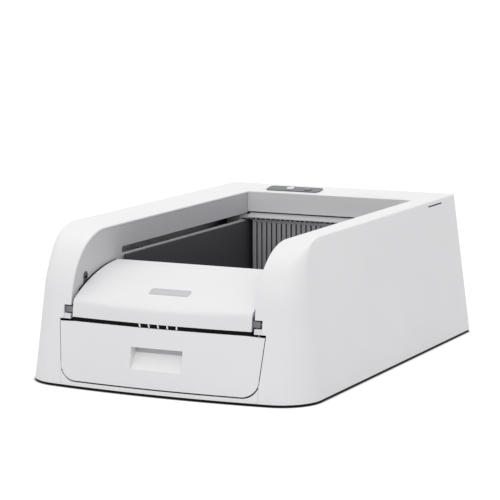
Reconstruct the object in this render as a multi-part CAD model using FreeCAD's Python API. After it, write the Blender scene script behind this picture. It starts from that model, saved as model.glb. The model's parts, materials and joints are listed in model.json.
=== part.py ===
import FreeCAD, Part
import math
import os

V = FreeCAD.Vector
os.makedirs("parts", exist_ok=True)

# Frame: +Z up, +Y towards the rear, +X to the right seen from the front, millimetres.
# The origin is on the floor, under the middle of the housing.

# Overall size of the housing
LENGTH = 725.0
WIDTH = 490.0
HEIGHT = 244.0
SIDE_DRAFT = 29.0
FRONT_LEAN = 33.0
REAR_DRAFT = 9.0
FRONT_CORNER_R = 66.0
CORNER_SHRINK = 30.0
REAR_CORNER_R = 3.0
BOW_R = 1570.0
SHELL_Z = 4.0
SHELL_WALL = 3.0
CREASE_R = 2.5
CORNER_STEPS = ((0.0, CREASE_R), (5.0, CREASE_R), (60.0, 38.0), (95.0, 44.0))
LIP_R = 1.4
INNER_ROUND = 0.5
HALF_WIDTH = WIDTH / 2
FRONT_Y = -LENGTH / 2
REAR_Y = LENGTH / 2

# Top band, opening between the walls, and wall fronts
BAND_WIDTH = 57.7
BAND_RISE = 8.0
REAR_BAND = 59.0
FRONT_ARC_R = 112.0
ARC_TIGHTER = 8.0
ARC_LOW_ANGLE = 63.0
ARC_TOP_ANGLE = 16.0
WALL_STEP = 0.0
LINER_GAP = 0.2
LINER_WALL = 3.0
BAND_TOP_HALF = HALF_WIDTH - SIDE_DRAFT
OPENING_HALF = BAND_TOP_HALF - BAND_WIDTH
BAND_INNER_Z = HEIGHT - BAND_RISE
REAR_TOP_Y = REAR_Y - REAR_DRAFT
REAR_INNER_Y = REAR_TOP_Y - REAR_BAND
LINER_IN = OPENING_HALF + LINER_GAP
LINER_OUT = LINER_IN + LINER_WALL

# Base pan, feet and screws
PAN_INSET = 1.0
PAN_FLOOR_Z = 1.0
FOOT_R = 11.0
FOOT_INSET_X = 60.0
FOOT_INSET_Y = 95.0
PAN_RIB = 4.0
PAN_RIB_COUNT = 6
PAN_RIB_PITCH = 52.0
SCREW_R = 1.5
SCREW_HEAD_R = 3.5
SCREW_HEAD = 1.6
BOSS_R = 5.0
BOSS_HEIGHT = 20.0
BOSS_INSET = 14.0
BOSS_FRONT = 145.0
BOSS_REAR = 50.75
BOSS_ROWS = 4
THREAD_CLEARANCE = 0.05
SLIDE_CLEARANCE = 0.3
RUN_CLEARANCE = 0.05

# Waste drawer
DRAWER_REACH = 18.3
DRAWER_TAPER = 6.0
DRAWER_TOP_Z = 103.6
DRAWER_BOTTOM_Z = 12.3
DRAWER_CORNER_R = 27.0
DRAWER_GAP = 1.2
DRAWER_TOP_GAP = 2.6
DRAWER_SKIN = 3.0
DRAWER_DEPTH = 36.0
DRAWER_SHOULDER_Z = 95.0
DRAWER_LIP_DROP = 2.4
DRAWER_LIP = 0.5
DRAWER_END_DEPTH = 20.5
DRAWER_END_DROP = 7.6
DRAWER_TOP_HALF = OPENING_HALF + DRAWER_REACH
DRAWER_LOW_HALF = DRAWER_TOP_HALF - DRAWER_TAPER
RAIL_TRIM = 0.4
RAIL_GAP = 2.4
RAIL_TOP_Z = 28.0
RAIL_HALF = DRAWER_LOW_HALF - RAIL_TRIM
SEAM_GAP = 0.3
POCKET_HALF = 44.5
POCKET_LOW_Z = 39.0
POCKET_TOP_Z = 73.5
POCKET_DEPTH = 26.0
POCKET_KNEE_Z = 63.0
POCKET_FOOT = 5.5
POCKET_DISH = 0.6
POCKET_WALL = 2.4
POCKET_CORNER_R = 4.0
BIN_SIDE_GAP = 12.3
BIN_END_GAP = 2.0
BIN_TOP_Z = 74.0
BIN_WALL = 2.5
BIN_CORNER_R = 8.0
BIN_SCREW_INSET = 29.2
BIN_SCREW_LOW_Z = 29.6
BIN_SCREW_PITCH = 29.6
RUNNER_WIDTH = 10.0
RUNNER_UPRIGHT = 3.4
RUNNER_TOP_Z = 36.0

# Step ramp over the waste drawer
RAMP_SIDE_GAP = 4.3
RAMP_LOW_Z = 110.0
RAMP_NOSE_Z = 137.5
RAMP_REAR = 168.0
RAMP_ARC_R = 300.0
RAMP_CREST_Z = 181.0
RAMP_CREST = RAMP_REAR + 16.0
RAMP_WALL = 3.0
RAMP_SETBACK = 0.4
RAMP_OVERRUN = 8.5
RAMP_NOSE_R = 11.0
RAMP_REAR_LIP = 9.0
RAMP_HALF = OPENING_HALF - RAMP_SIDE_GAP
BIN_HALF = OPENING_HALF - BIN_SIDE_GAP
BIN_LENGTH = RAMP_REAR - DRAWER_DEPTH - BIN_END_GAP
HINGE_D = 31.0
HINGE_Z = 121.0
LUG_SIZE = 9.0
LUG_LENGTH = 13.0
LUG_PIN_R = 2.0
LUG_PIN_LENGTH = 3.0
LUG_PLATE = 1.6
NOTCH_REACH = 12.7
NOTCH_OUTER = OPENING_HALF + NOTCH_REACH
NOTCH_LOW_Z = DRAWER_TOP_Z + DRAWER_TOP_GAP
NOTCH_TOP_Z = HINGE_Z + 6.6
NOTCH_DEPTH = HINGE_D + 15.0
BLOCK_WALL = 6.0
SEAT_DROP = 6.8
STRIP_LOW_Z = 104.2
STRIP_RECESS = 1.5
STRIP_THICK = 5.5
STRIP_FLANGE = 6.0
STRIP_GAP = 0.2
LIGHT_COUNT = 5
LIGHT_PITCH = 15.9
LIGHT_WIDTH = 2.3
LIGHT_PROUD = 0.6
LIGHT_LEAN = (20.0, 17.0, 13.0, 9.0, 4.0)
LIGHT_BOARD = 1.4
BADGE_LENGTH = 69.0
BADGE_DEPTH = 14.0
BADGE_D = 58.0
BADGE_X = -1.0
BADGE_PROUD = 0.5
BADGE_SINK = 1.2

# Rear shelf, rake beam and tines
SHELF_DROP = 45.0
SHELF_GAP = 1.0
BEAM_HEIGHT = 10.5
REAR_SHELF_Z = HEIGHT - SHELF_DROP
BEAM_TOP_Z = REAR_SHELF_Z - SHELF_GAP
BEAM_LOW_Z = BEAM_TOP_Z - BEAM_HEIGHT
BEAM_SIDE_GAP = 6.3
BEAM_HALF = OPENING_HALF - BEAM_SIDE_GAP
BEAM_FRONT = -9.0
BEAM_REAR = 9.0
BEAM_NOSE_R = 3.0
BEAM_LIP = 2.8
BEAM_NOSE_Z = BEAM_TOP_Z - 4.5
TONGUE_HALF = 8.0
TONGUE_THICK = 6.0
TONGUE_LOW_Z = BEAM_LOW_Z + 1.5
TONGUE_TOP_Z = TONGUE_LOW_Z + TONGUE_THICK
SLOT_MARGIN = 2.5
TINE_PITCH = 9.7
TINE_GAP = 2.4
TINE_THICK = 4.0
TINE_OFFSET = -4.0
TINE_LIFT = 3.0
TINE_ROOT = 5.5
TINE_SIDE_GAP = 5.0

# Litter tray and tipping scoop
SCOOP_BEHIND_RAMP = 9.0
TRAY_BEHIND_SCOOP = 10.0
SCOOP_D = RAMP_REAR + SCOOP_BEHIND_RAMP
SCOOP_Z = 80.0
TRAY_SIDE_GAP = 3.3
TRAY_HALF = OPENING_HALF - TRAY_SIDE_GAP
TRAY_WALL = 3.0
TRAY_LOW_Z = 20.0
TRAY_RIM = 2.6
TRAY_RIM_GAP = 3.5
TRAY_RIM_Z = BEAM_LOW_Z - TRAY_RIM_GAP
TRAY_FRONT = SCOOP_D + TRAY_BEHIND_SCOOP
TRAY_REAR_INSET = 54.0
TRAY_REAR = LENGTH - TRAY_REAR_INSET
TRAY_FRONT_TOP_Z = 60.0
TRAY_CORNER_R = 10.0
SCOOP_REACH = 48.0
SCOOP_FLOOR_GAP = 4.4
SCOOP_DROP = SCOOP_Z - TRAY_LOW_Z - TRAY_WALL - SCOOP_FLOOR_GAP
SCOOP_WALL = 2.5
SCOOP_SIDE_GAP = 4.0
SCOOP_HALF = TRAY_HALF - TRAY_WALL - SCOOP_SIDE_GAP
SCOOP_CHEEK = 24.0
SCOOP_SHAFT_R = 4.0
SCOOP_BOSS_R = 7.0
BUSH_R = 7.0
BUSH_LENGTH = 5.5
SCOOP_MOTOR_R = 15.0
SCOOP_MOTOR_LENGTH = 42.0
MOTOR_SOCKET = 5.0
TINE_TIP_Z = TRAY_LOW_Z + TRAY_WALL + TINE_LIFT
TINE_ROOT_Z = BEAM_LOW_Z - TINE_ROOT
TINE_COUNT = int(2 * (TRAY_HALF - TRAY_WALL - TINE_SIDE_GAP) / TINE_PITCH)
RAKE_TO_TRAY = 19.0
RAKE_PARK = TRAY_REAR - RAKE_TO_TRAY

# Carriages, rods, belts and drive in the side walls
CARRIAGE_GAP = 2.0
CARRIAGE_WIDTH = 26.5
TROLLEY_INNER = LINER_OUT + CARRIAGE_GAP
TROLLEY_OUTER = TROLLEY_INNER + CARRIAGE_WIDTH
TROLLEY_HALF = 15.0
TROLLEY_HEIGHT = 31.0
TROLLEY_TOP_Z = BEAM_TOP_Z - 1.0
TROLLEY_LOW_Z = TROLLEY_TOP_Z - TROLLEY_HEIGHT
CLAMP_HEIGHT = 9.0
CLAMP_TOP_Z = TROLLEY_TOP_Z + CLAMP_HEIGHT
CLAMP_HALF = 9.0
CLAMP_CHEEK = 2.0
ROD_R = 4.0
ROD_OFFSET = 13.5
ROD_RISE = 12.0
ROD_X = TROLLEY_INNER + ROD_OFFSET
ROD_Z = TROLLEY_LOW_Z + ROD_RISE
ROD_FRONT = TRAY_FRONT - 3.0
ROD_REAR_INSET = 19.0
ROD_REAR = LENGTH - ROD_REAR_INSET
BRACKET_DEPTH = 6.0
BRACKET_LIP = 3.0
SHAFT_INSET = 29.0
SHAFT_RISE = 14.0
SHAFT_D = LENGTH - SHAFT_INSET
SHAFT_Z = BEAM_TOP_Z + SHAFT_RISE
SHAFT_R = 3.0
SHAFT_END = 3.0
PULLEY_R = 12.0
PULLEY_FLANGE_R = 13.5
PULLEY_WIDTH = 10.0
PULLEY_GAP = 9.5
PULLEY_FLANGE = 1.0
PULLEY_INNER = LINER_OUT + PULLEY_GAP
PULLEY_OUTER = PULLEY_INNER + PULLEY_WIDTH
SHAFT_HALF = PULLEY_OUTER + SHAFT_END
BELT_GAP = 0.15
BELT_THICK = 1.5
IDLER_BEHIND_TRAY = 9.0
IDLER_D = TRAY_FRONT + IDLER_BEHIND_TRAY
IDLER_PLATE = 7.0
SLOT_FRONT = TRAY_FRONT + 3.0
SLOT_REAR = TRAY_REAR + 1.0
BEARING_SIZE = 20.0
BEARING_DEPTH = 7.0
SHAFT_HOLE_R = 6.0
GEAR_MODULE = 1.5
GEAR_TEETH = 20
PINION_TEETH = 12
GEAR_X = 42.0
GEAR_WIDTH = 8.0
PINION_EXTRA = 1.0
PRESSURE_ANGLE = math.radians(25.0)
TOOTH_ADDENDUM = 0.9
TOOTH_DEDENDUM = 1.25
TOOTH_BACKLASH = 0.16
MOTOR_R = 12.0
MOTOR_LENGTH = 46.0
MOTOR_SHAFT_R = 1.5
MOTOR_PLATE = 3.0
MOTOR_BOSS_R = 5.0

# Rear housing, control panel and electrics
REAR_COVER_WALL = 3.0
BACK_PANEL = TRAY_REAR + 3.0
PANEL_X = -78.0
PANEL_LENGTH = 104.0
PANEL_DEPTH = 30.0
PANEL_THICK = 1.5
PANEL_INSET = 39.0
PANEL_D = LENGTH - PANEL_INSET
PANEL_CORNER_R = 8.0
BUTTON_R = 7.0
BUTTON_PITCH = 34.0
BUTTON_HEIGHT = 5.6
BUTTON_PROUD = 1.4
BUTTON_CLEARANCE = 0.3
BUTTON_DISH_R = 22.0
BUTTON_DISH = 0.5
LED_R = 1.5
LED_PITCH = 8.0
LED_OFFSET = 9.0
BOARD_DROP = 10.0
BOARD_THICK = 1.6
BOARD_POST_R = 2.5
SWITCH_SIZE = 6.0
SWITCH_GAP = 2.2
MAIN_BOARD_X = -100.0
MAIN_BOARD_WIDTH = 90.0
MAIN_BOARD_HEIGHT = 70.0
MAIN_BOARD_LOW_Z = 60.0
STANDOFF = 3.0
INLET_X = 125.0
INLET_Z = 30.0
INLET_WIDTH = 16.0
INLET_HEIGHT = 12.0
INLET_LENGTH = 16.0
INLET_BORE_R = 3.6
INLET_PIN_R = 1.0
INLET_CLEARANCE = 0.3
COVER_SLOT_INSET = 137.0
COVER_SLOT_LENGTH = 63.0
COVER_SLOT_DROP = 8.4
COVER_SLOT_HEIGHT = 2.4
COVER_SLOT_FRONT = LENGTH - COVER_SLOT_INSET
COVER_SLOT_Z = HEIGHT - COVER_SLOT_DROP

# Presence sensors in the inner walls
WINDOW_D = 73.0
WINDOW_LOW_Z = RAMP_CREST_Z - 27.0
WINDOW_HEIGHT = 20.0
WINDOW_TOP_Z = WINDOW_LOW_Z + WINDOW_HEIGHT
WINDOW_WIDTH = 16.0
WINDOW_SPLIT_Z = WINDOW_LOW_Z + 9.0
WINDOW_RECESS = 1.5
WINDOW_BODY = 8.0
WINDOW_GAP = 0.2

# Slopes and angles that follow from the sizes above
LEAN = FRONT_LEAN / (HEIGHT - SHELL_Z)
DECK_SLOPE = BAND_RISE / REAR_BAND
DECK_ANGLE = math.degrees(math.atan(DECK_SLOPE))
SCOOP_ANGLE = math.degrees(math.atan2(SCOOP_DROP, SCOOP_REACH))
SCOOP_LENGTH = math.hypot(SCOOP_REACH, SCOOP_DROP)
FAR = 2 * LENGTH


def at(depth):
    """Y of a point the given distance behind the middle of the front foot line."""
    return FRONT_Y + depth


def box(x0, x1, y0, y1, z0, z1):
    return Part.makeBox(x1 - x0, y1 - y0, z1 - z0, V(x0, y0, z0))


def cyl_x(x0, x1, y, z, r):
    return Part.makeCylinder(r, x1 - x0, V(x0, y, z), V(1, 0, 0))


def cyl_y(y0, y1, x, z, r):
    return Part.makeCylinder(r, y1 - y0, V(x, y0, z), V(0, 1, 0))


def cyl_z(z0, z1, x, y, r):
    return Part.makeCylinder(r, z1 - z0, V(x, y, z0), V(0, 0, 1))


def mirrored(shape):
    return shape.mirror(V(0, 0, 0), V(1, 0, 0))


def fused(shapes):
    result = shapes[0]
    for shape in shapes[1:]:
        result = result.fuse(shape)
    return result.removeSplitter()


def prism(points, direction):
    """A straight prism on a closed polygon."""
    face = Part.Face(Part.makePolygon(points + [points[0]]))
    return face.extrude(direction)


def rounded_box(x0, x1, y0, y1, z0, z1, r):
    """A box with its four upright edges rounded."""
    solid = box(x0, x1, y0, y1, z0, z1)
    upright = [e for e in solid.Edges if abs(e.Vertexes[0].Z - e.Vertexes[1].Z) > 1e-6]
    return solid.makeFillet(r, upright)


def arc(a, b, c):
    return Part.Arc(a, b, c).toShape()


def line(a, b):
    return Part.LineSegment(a, b).toShape()


def save(name, shape):
    if isinstance(shape, (list, tuple)):
        shape = Part.makeCompound(list(shape))
    shape.exportStep("parts/" + name + ".step")


# Outer form of the housing

def side_x(z):
    """Half the width of the housing at one height."""
    return HALF_WIDTH - SIDE_DRAFT * (z - SHELL_Z) / (HEIGHT - SHELL_Z)


def plan_wire(z, inset):
    """Outline of the housing at one height: bowed front, round front corners, straight sides."""
    rise = (z - SHELL_Z) / (HEIGHT - SHELL_Z)
    half = side_x(z) - inset
    front = FRONT_Y + FRONT_LEAN * rise + inset
    rear = REAR_Y - REAR_DRAFT * rise - inset
    corner = FRONT_CORNER_R - CORNER_SHRINK * rise - inset
    rear_r = max(REAR_CORNER_R - inset, 1.0)
    bow = BOW_R - inset
    bow_y = front + bow
    cx = half - corner
    cy = bow_y - math.sqrt((bow - corner) ** 2 - cx ** 2)
    grow = bow / (bow - corner)
    tx = cx * grow
    ty = bow_y + (cy - bow_y) * grow
    turn = math.atan2(ty - cy, tx - cx) / 2
    mx = cx + corner * math.cos(turn)
    my = cy + corner * math.sin(turn)
    rd = rear_r * math.cos(math.radians(45))
    rx = half - rear_r
    ry = rear - rear_r
    edges = [
        arc(V(-tx, ty, z), V(0, front, z), V(tx, ty, z)),
        arc(V(tx, ty, z), V(mx, my, z), V(half, cy, z)),
        line(V(half, cy, z), V(half, ry, z)),
        arc(V(half, ry, z), V(rx + rd, ry + rd, z), V(rx, rear, z)),
        line(V(rx, rear, z), V(-rx, rear, z)),
        arc(V(-rx, rear, z), V(-rx - rd, ry + rd, z), V(-half, ry, z)),
        line(V(-half, ry, z), V(-half, cy, z)),
        arc(V(-half, cy, z), V(-mx, my, z), V(-tx, ty, z)),
    ]
    return Part.Wire(edges)


def plan_body(inset, z0, z1):
    return Part.makeLoft([plan_wire(z0, inset), plan_wire(z1, inset)], True, True)


def bow_back(x):
    """How far the bowed front has receded at a place across the housing."""
    return BOW_R - math.sqrt(BOW_R ** 2 - x ** 2)


def wall_profile(x, inset, z0):
    """Side view of a wall: leaning front, large arc in three lengths, flat top, up to the rear."""
    share = (x - OPENING_HALF) / (BAND_TOP_HALF - OPENING_HALF)
    top = BAND_INNER_Z + BAND_RISE * share - inset
    norm = math.hypot(LEAN, 1.0)
    foot_y = FRONT_Y + WALL_STEP + bow_back(x) + inset * norm
    radius = FRONT_ARC_R - ARC_TIGHTER * share - inset
    corner_y = foot_y + LEAN * (top - SHELL_Z)
    run = radius / math.tan((math.pi / 2 + math.atan(LEAN)) / 2)
    top_y = corner_y + run

    def on_arc(angle):
        turn = math.radians(angle)
        return V(x, top_y - radius * math.sin(turn), top - radius * (1 - math.cos(turn)))

    def piece(a, b):
        return arc(on_arc(a), on_arc((a + b) / 2), on_arc(b))

    low = 90.0 - math.degrees(math.atan(LEAN))
    rear = REAR_Y + REAR_CORNER_R
    foot = V(x, foot_y + LEAN * (z0 - SHELL_Z), z0)
    edges = [
        line(foot, on_arc(low)),
        piece(low, ARC_LOW_ANGLE),
        piece(ARC_LOW_ANGLE, ARC_TOP_ANGLE),
        piece(ARC_TOP_ANGLE, 0.0),
        line(on_arc(0.0), V(x, rear, top)),
        line(V(x, rear, top), V(x, rear, z0)),
        line(V(x, rear, z0), foot),
    ]
    return Part.Wire(edges)


def wall_form(x0, x1, inset, z0):
    ends = [wall_profile(x0, inset, z0), wall_profile(x1, inset, z0)]
    return Part.makeLoft(ends, True, True)


def deck_z(y):
    """Height of the sloping rear deck."""
    return BAND_INNER_Z + DECK_SLOPE * (y - REAR_INNER_Y)


def rear_form(x0, y0, inset, z0):
    y1 = REAR_Y + REAR_CORNER_R
    x1 = HALF_WIDTH + REAR_CORNER_R
    points = [
        V(x0, y0, z0),
        V(x0, y1, z0),
        V(x0, y1, deck_z(y1) - inset),
        V(x0, y0, deck_z(y0) - inset),
    ]
    return prism(points, V(x1 - x0, 0, 0))


def side_form(inset, z0):
    """Everything inside the drafted side face, as far back as the rear end."""
    high = HEIGHT + BAND_RISE
    y1 = REAR_TOP_Y - 2 * REAR_CORNER_R
    points = [V(0, -FAR, z0), V(side_x(z0) - inset, -FAR, z0)]
    points += [V(side_x(high) - inset, -FAR, high), V(0, -FAR, high)]
    return prism(points, V(0, FAR + y1, 0))


def rear_extension(inset, z0):
    """Straight rear end of one side, with a small upright corner."""
    high = HEIGHT + BAND_RISE
    rise = (high - SHELL_Z) / (HEIGHT - SHELL_Z)
    drop = (z0 - SHELL_Z) / (HEIGHT - SHELL_Z)
    y0 = REAR_TOP_Y - 2 * REAR_CORNER_R
    sections = []
    for share, z in ((drop, z0), (rise, high)):
        half = side_x(z) - inset
        rear = REAR_Y - REAR_DRAFT * share - inset
        r = max(REAR_CORNER_R - inset, 1.0)
        d = r * math.cos(math.radians(45))
        edges = [
            line(V(0, y0, z), V(half, y0, z)),
            line(V(half, y0, z), V(half, rear - r, z)),
            arc(V(half, rear - r, z), V(half - r + d, rear - r + d, z), V(half - r, rear, z)),
            line(V(half - r, rear, z), V(0, rear, z)),
            line(V(0, rear, z), V(0, y0, z)),
        ]
        sections.append(Part.Wire(edges))
    return Part.makeLoft(sections, True, True)


def spots_on(edge):
    first = edge.FirstParameter
    span = edge.LastParameter - first
    return [edge.valueAt(first + span * k / 4) for k in range(5)]


def wall_edges(wall, x0, z0):
    """Outer crease of one wall, and the edge of its opening side."""
    crease = []
    lip = []
    cut_y = REAR_TOP_Y - 2 * REAR_CORNER_R
    for edge in wall.Edges:
        spots = spots_on(edge)
        if max(p.z for p in spots) < z0 + 10 or min(p.y for p in spots) > cut_y - 1:
            continue
        if min(p.x for p in spots) > x0 + 0.5:
            crease.append(edge)
        elif max(p.x for p in spots) < x0 + 0.01 and min(p.z for p in spots) > z0 + 10:
            lip.append(edge)
    return crease, lip


def round_at(drop, inset):
    """Radius of the wall's rounding: large down the front corner, small along the top."""
    steps = CORNER_STEPS + ((HEIGHT - SHELL_Z, FRONT_CORNER_R),)
    radius = steps[-1][1]
    for (d0, r0), (d1, r1) in zip(steps[:-1], steps[1:]):
        if drop <= d1:
            radius = r0 + (r1 - r0) * max(drop - d0, 0.0) / (d1 - d0)
            break
    return max(radius - inset, INNER_ROUND)


def rounded_crease(wall, crease, inset):
    """Rounds the edge from the foot of the front corner, up over the arc and along the top."""
    rounds = []
    for edge in crease:
        ends = [edge.valueAt(edge.FirstParameter), edge.valueAt(edge.LastParameter)]
        number = [e.isSame(edge) for e in wall.Edges].index(True) + 1
        radii = [round_at(HEIGHT - inset - p.z, inset) for p in ends]
        rounds.append((number, radii[0], radii[1]))
    sheet = FreeCAD.newDocument()
    sharp = sheet.addObject("Part::Feature", "Sharp")
    sharp.Shape = wall
    smooth = sheet.addObject("Part::Fillet", "Smooth")
    smooth.Base = sharp
    smooth.Edges = rounds
    sheet.recompute()
    shape = smooth.Shape.copy()
    FreeCAD.closeDocument(sheet.Name)
    return shape


def half_housing(inset, x0, y0, z0, lip_r):
    """Right half of the U-shaped outer form, shrunk by an inset."""
    wall = side_form(inset, z0).common(wall_form(x0, HALF_WIDTH + REAR_CORNER_R, inset, z0))
    wall = wall.Solids[0]
    crease, lip = wall_edges(wall, x0, z0)
    wall = rounded_crease(wall, crease, inset)
    if lip_r > 0:
        crease, lip = wall_edges(wall, x0, z0)
        wall = wall.makeFillet(lip_r, lip)
    tops = wall_form(x0, HALF_WIDTH + REAR_CORNER_R, inset, z0).fuse(rear_form(-1, y0, inset, z0))
    corner = rear_extension(inset, z0).common(tops)
    rear = rear_form(0, y0, inset, z0)
    edge = BAND_TOP_HALF - 2 * CREASE_R
    rear = rear.common(box(0, edge, -FAR, REAR_TOP_Y - REAR_CORNER_R, -FAR, FAR))
    return wall.fuse(corner).fuse(rear)


def housing_form(inset, x0, y0, z0, lip_r):
    right = half_housing(inset, x0, y0, z0, lip_r)
    return right.fuse(mirrored(right)).removeSplitter()


def drawer_outline(gap, top_gap=None):
    """Front view of the drawer, grown by a gap and made into a prism along Y."""
    top = DRAWER_TOP_Z + (gap if top_gap is None else top_gap)
    low = DRAWER_BOTTOM_Z - gap
    r = DRAWER_CORNER_R + gap
    top_half = DRAWER_TOP_HALF + gap
    low_half = DRAWER_LOW_HALF + gap
    y = FRONT_Y - 20
    c = r * math.cos(math.radians(45))
    cx = low_half - r
    cz = low + r
    edges = [
        line(V(-cx, y, low), V(cx, y, low)),
        arc(V(cx, y, low), V(cx + c, y, cz - c), V(low_half, y, cz)),
        line(V(low_half, y, cz), V(top_half, y, top)),
        line(V(top_half, y, top), V(-top_half, y, top)),
        line(V(-top_half, y, top), V(-low_half, y, cz)),
        arc(V(-low_half, y, cz), V(-cx - c, y, cz - c), V(-cx, y, low)),
    ]
    face = Part.Face(Part.Wire(edges))
    return face.extrude(V(0, 20 + NOTCH_DEPTH + 30, 0))


def notch_box(side):
    """Space in one wall front for the ramp's hinge lug."""
    x0, x1 = sorted((side * (OPENING_HALF - 2), side * NOTCH_OUTER))
    return box(x0, x1, FRONT_Y - 20, at(NOTCH_DEPTH), NOTCH_LOW_Z, NOTCH_TOP_Z)


def on_deck(shape):
    """Moves a piece made at the origin, Z up, onto the sloping rear deck."""
    moved = shape.copy()
    moved.rotate(V(0, 0, 0), V(1, 0, 0), DECK_ANGLE)
    moved.translate(V(PANEL_X, at(PANEL_D), deck_z(at(PANEL_D))))
    return moved


def button_x(index):
    return BUTTON_PITCH * (index - 0.5) + LED_OFFSET


def button_holes():
    holes = []
    for index in range(2):
        r = BUTTON_R + BUTTON_CLEARANCE
        holes.append(cyl_z(-2 * BOARD_DROP / 3, 2 * PANEL_THICK, button_x(index), 0, r))
    return holes


def screw_places():
    """Middles of the base screws, in two rows under the side walls."""
    rows = []
    step = (LENGTH - BOSS_FRONT - BOSS_REAR) / (BOSS_ROWS - 1)
    for row in range(BOSS_ROWS):
        for side in (-1, 1):
            rows.append((side * (HALF_WIDTH - BOSS_INSET), at(BOSS_FRONT + step * row)))
    return rows


def shell_bosses():
    bosses = []
    for x, y in screw_places():
        side = 1 if x > 0 else -1
        x0, x1 = sorted((x, side * (HALF_WIDTH - SHELL_WALL)))
        top = SHELL_Z + BOSS_HEIGHT
        post = cyl_z(SHELL_Z, top, x, y, BOSS_R)
        rib = box(x0, x1, y - SHELL_WALL / 2, y + SHELL_WALL / 2, SHELL_Z, top)
        hole = cyl_z(SHELL_Z, top - SHELL_WALL, x, y, SCREW_R + THREAD_CLEARANCE)
        bosses.append(post.fuse(rib).cut(hole))
    return bosses


def board_posts():
    posts = []
    for dx in (-1, 1):
        x = dx * (PANEL_LENGTH / 2 - 2 * BOARD_POST_R)
        for dy in (-1, 1):
            y = dy * (PANEL_DEPTH / 2 - 2 * BOARD_POST_R)
            post = cyl_z(-BOARD_DROP, -SHELL_WALL / 2, x, y, BOARD_POST_R)
            posts.append(on_deck(post))
    return posts


def outer_shell():
    outer = housing_form(0.0, OPENING_HALF, REAR_INNER_Y, SHELL_Z, LIP_R)
    x0 = OPENING_HALF - SHELL_WALL / 2
    inner = housing_form(SHELL_WALL, x0, REAR_INNER_Y - 4 * SHELL_WALL, 0.0, 0.0)
    shell = outer.cut(inner)
    cuts = [drawer_outline(DRAWER_GAP, DRAWER_TOP_GAP), notch_box(-1), notch_box(1)]
    rail = RAIL_HALF + SEAM_GAP
    cuts.append(box(-rail, rail, FRONT_Y - 20, at(NOTCH_DEPTH), 0, RAIL_TOP_Z))
    for side in (-1, 1):
        x0, x1 = sorted((side * (BAND_TOP_HALF - 3 * SHELL_WALL), side * HALF_WIDTH))
        y0 = at(COVER_SLOT_FRONT)
        low = COVER_SLOT_Z - COVER_SLOT_HEIGHT / 2
        high = COVER_SLOT_Z + COVER_SLOT_HEIGHT / 2
        cuts.append(box(x0, x1, y0, y0 + COVER_SLOT_LENGTH, low, high))
    w = INLET_WIDTH / 2 + INLET_CLEARANCE
    h = INLET_HEIGHT / 2 + INLET_CLEARANCE
    cuts.append(box(INLET_X - w, INLET_X + w, REAR_Y - INLET_LENGTH, FAR, INLET_Z - h, INLET_Z + h))
    cuts += [on_deck(hole) for hole in button_holes()]
    relief = cyl_x(NOTCH_OUTER, NOTCH_OUTER + BLOCK_WALL, at(HINGE_D), HINGE_Z, LUG_PIN_R + 2 * SEAM_GAP)
    cuts += [relief, mirrored(relief)]
    for cut in cuts:
        shell = shell.cut(cut)
    for extra in shell_bosses() + board_posts():
        shell = shell.fuse(extra)
    save("outer_shell", shell.removeSplitter())


# Inner walls

def window_prism(side, grow, x0, x1, z0, z1):
    """Arched prism along X for the presence sensor."""
    half = WINDOW_WIDTH / 2 - grow
    y = at(WINDOW_D)
    spring = WINDOW_TOP_Z - WINDOW_WIDTH / 2
    body = box(x0, x1, y - half, y + half, WINDOW_LOW_Z + grow, spring)
    body = body.fuse(cyl_x(x0, x1, y, spring, half))
    body = body.common(box(x0, x1, y - WINDOW_WIDTH, y + WINDOW_WIDTH, z0, z1))
    return body if side > 0 else mirrored(body)


def inner_wall(side):
    """Flat inner panel of one side wall, with the rake's slot and the sensor window."""
    inset = SHELL_WALL + 2 * SEAM_GAP
    form = Part.Face(wall_profile(LINER_IN, inset, SHELL_Z)).extrude(V(LINER_WALL, 0, 0))
    rear_limit = REAR_TOP_Y - SHELL_WALL - LINER_GAP
    form = form.common(box(LINER_IN, LINER_OUT, FRONT_Y, rear_limit, SHELL_Z, HEIGHT))
    x0 = LINER_IN - 1
    x1 = LINER_OUT + 1
    drawer_clear = at(DRAWER_DEPTH) + SLIDE_CLEARANCE
    cuts = [box(x0, x1, FRONT_Y, drawer_clear, 0, NOTCH_LOW_Z)]
    cuts.append(box(x0, x1, FRONT_Y, at(NOTCH_DEPTH), NOTCH_LOW_Z - 1, NOTCH_TOP_Z))
    low = TONGUE_LOW_Z - SLOT_MARGIN
    high = TONGUE_TOP_Z + SLOT_MARGIN
    r = (high - low) / 2
    cuts.append(box(x0, x1, at(SLOT_FRONT) + r, at(SLOT_REAR) - r, low, high))
    cuts.append(cyl_x(x0, x1, at(SLOT_FRONT) + r, low + r, r))
    cuts.append(cyl_x(x0, x1, at(SLOT_REAR) - r, low + r, r))
    cuts.append(window_prism(1, 0.0, x0, x1, WINDOW_LOW_Z, WINDOW_TOP_Z))
    cuts.append(cyl_x(x0, x1, at(SCOOP_D), SCOOP_Z, BUSH_R + RUN_CLEARANCE))
    cuts.append(cyl_x(x0, x1, at(SHAFT_D), SHAFT_Z, SHAFT_HOLE_R))
    for cut in cuts:
        form = form.cut(cut)
    return form if side > 0 else mirrored(form)


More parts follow.
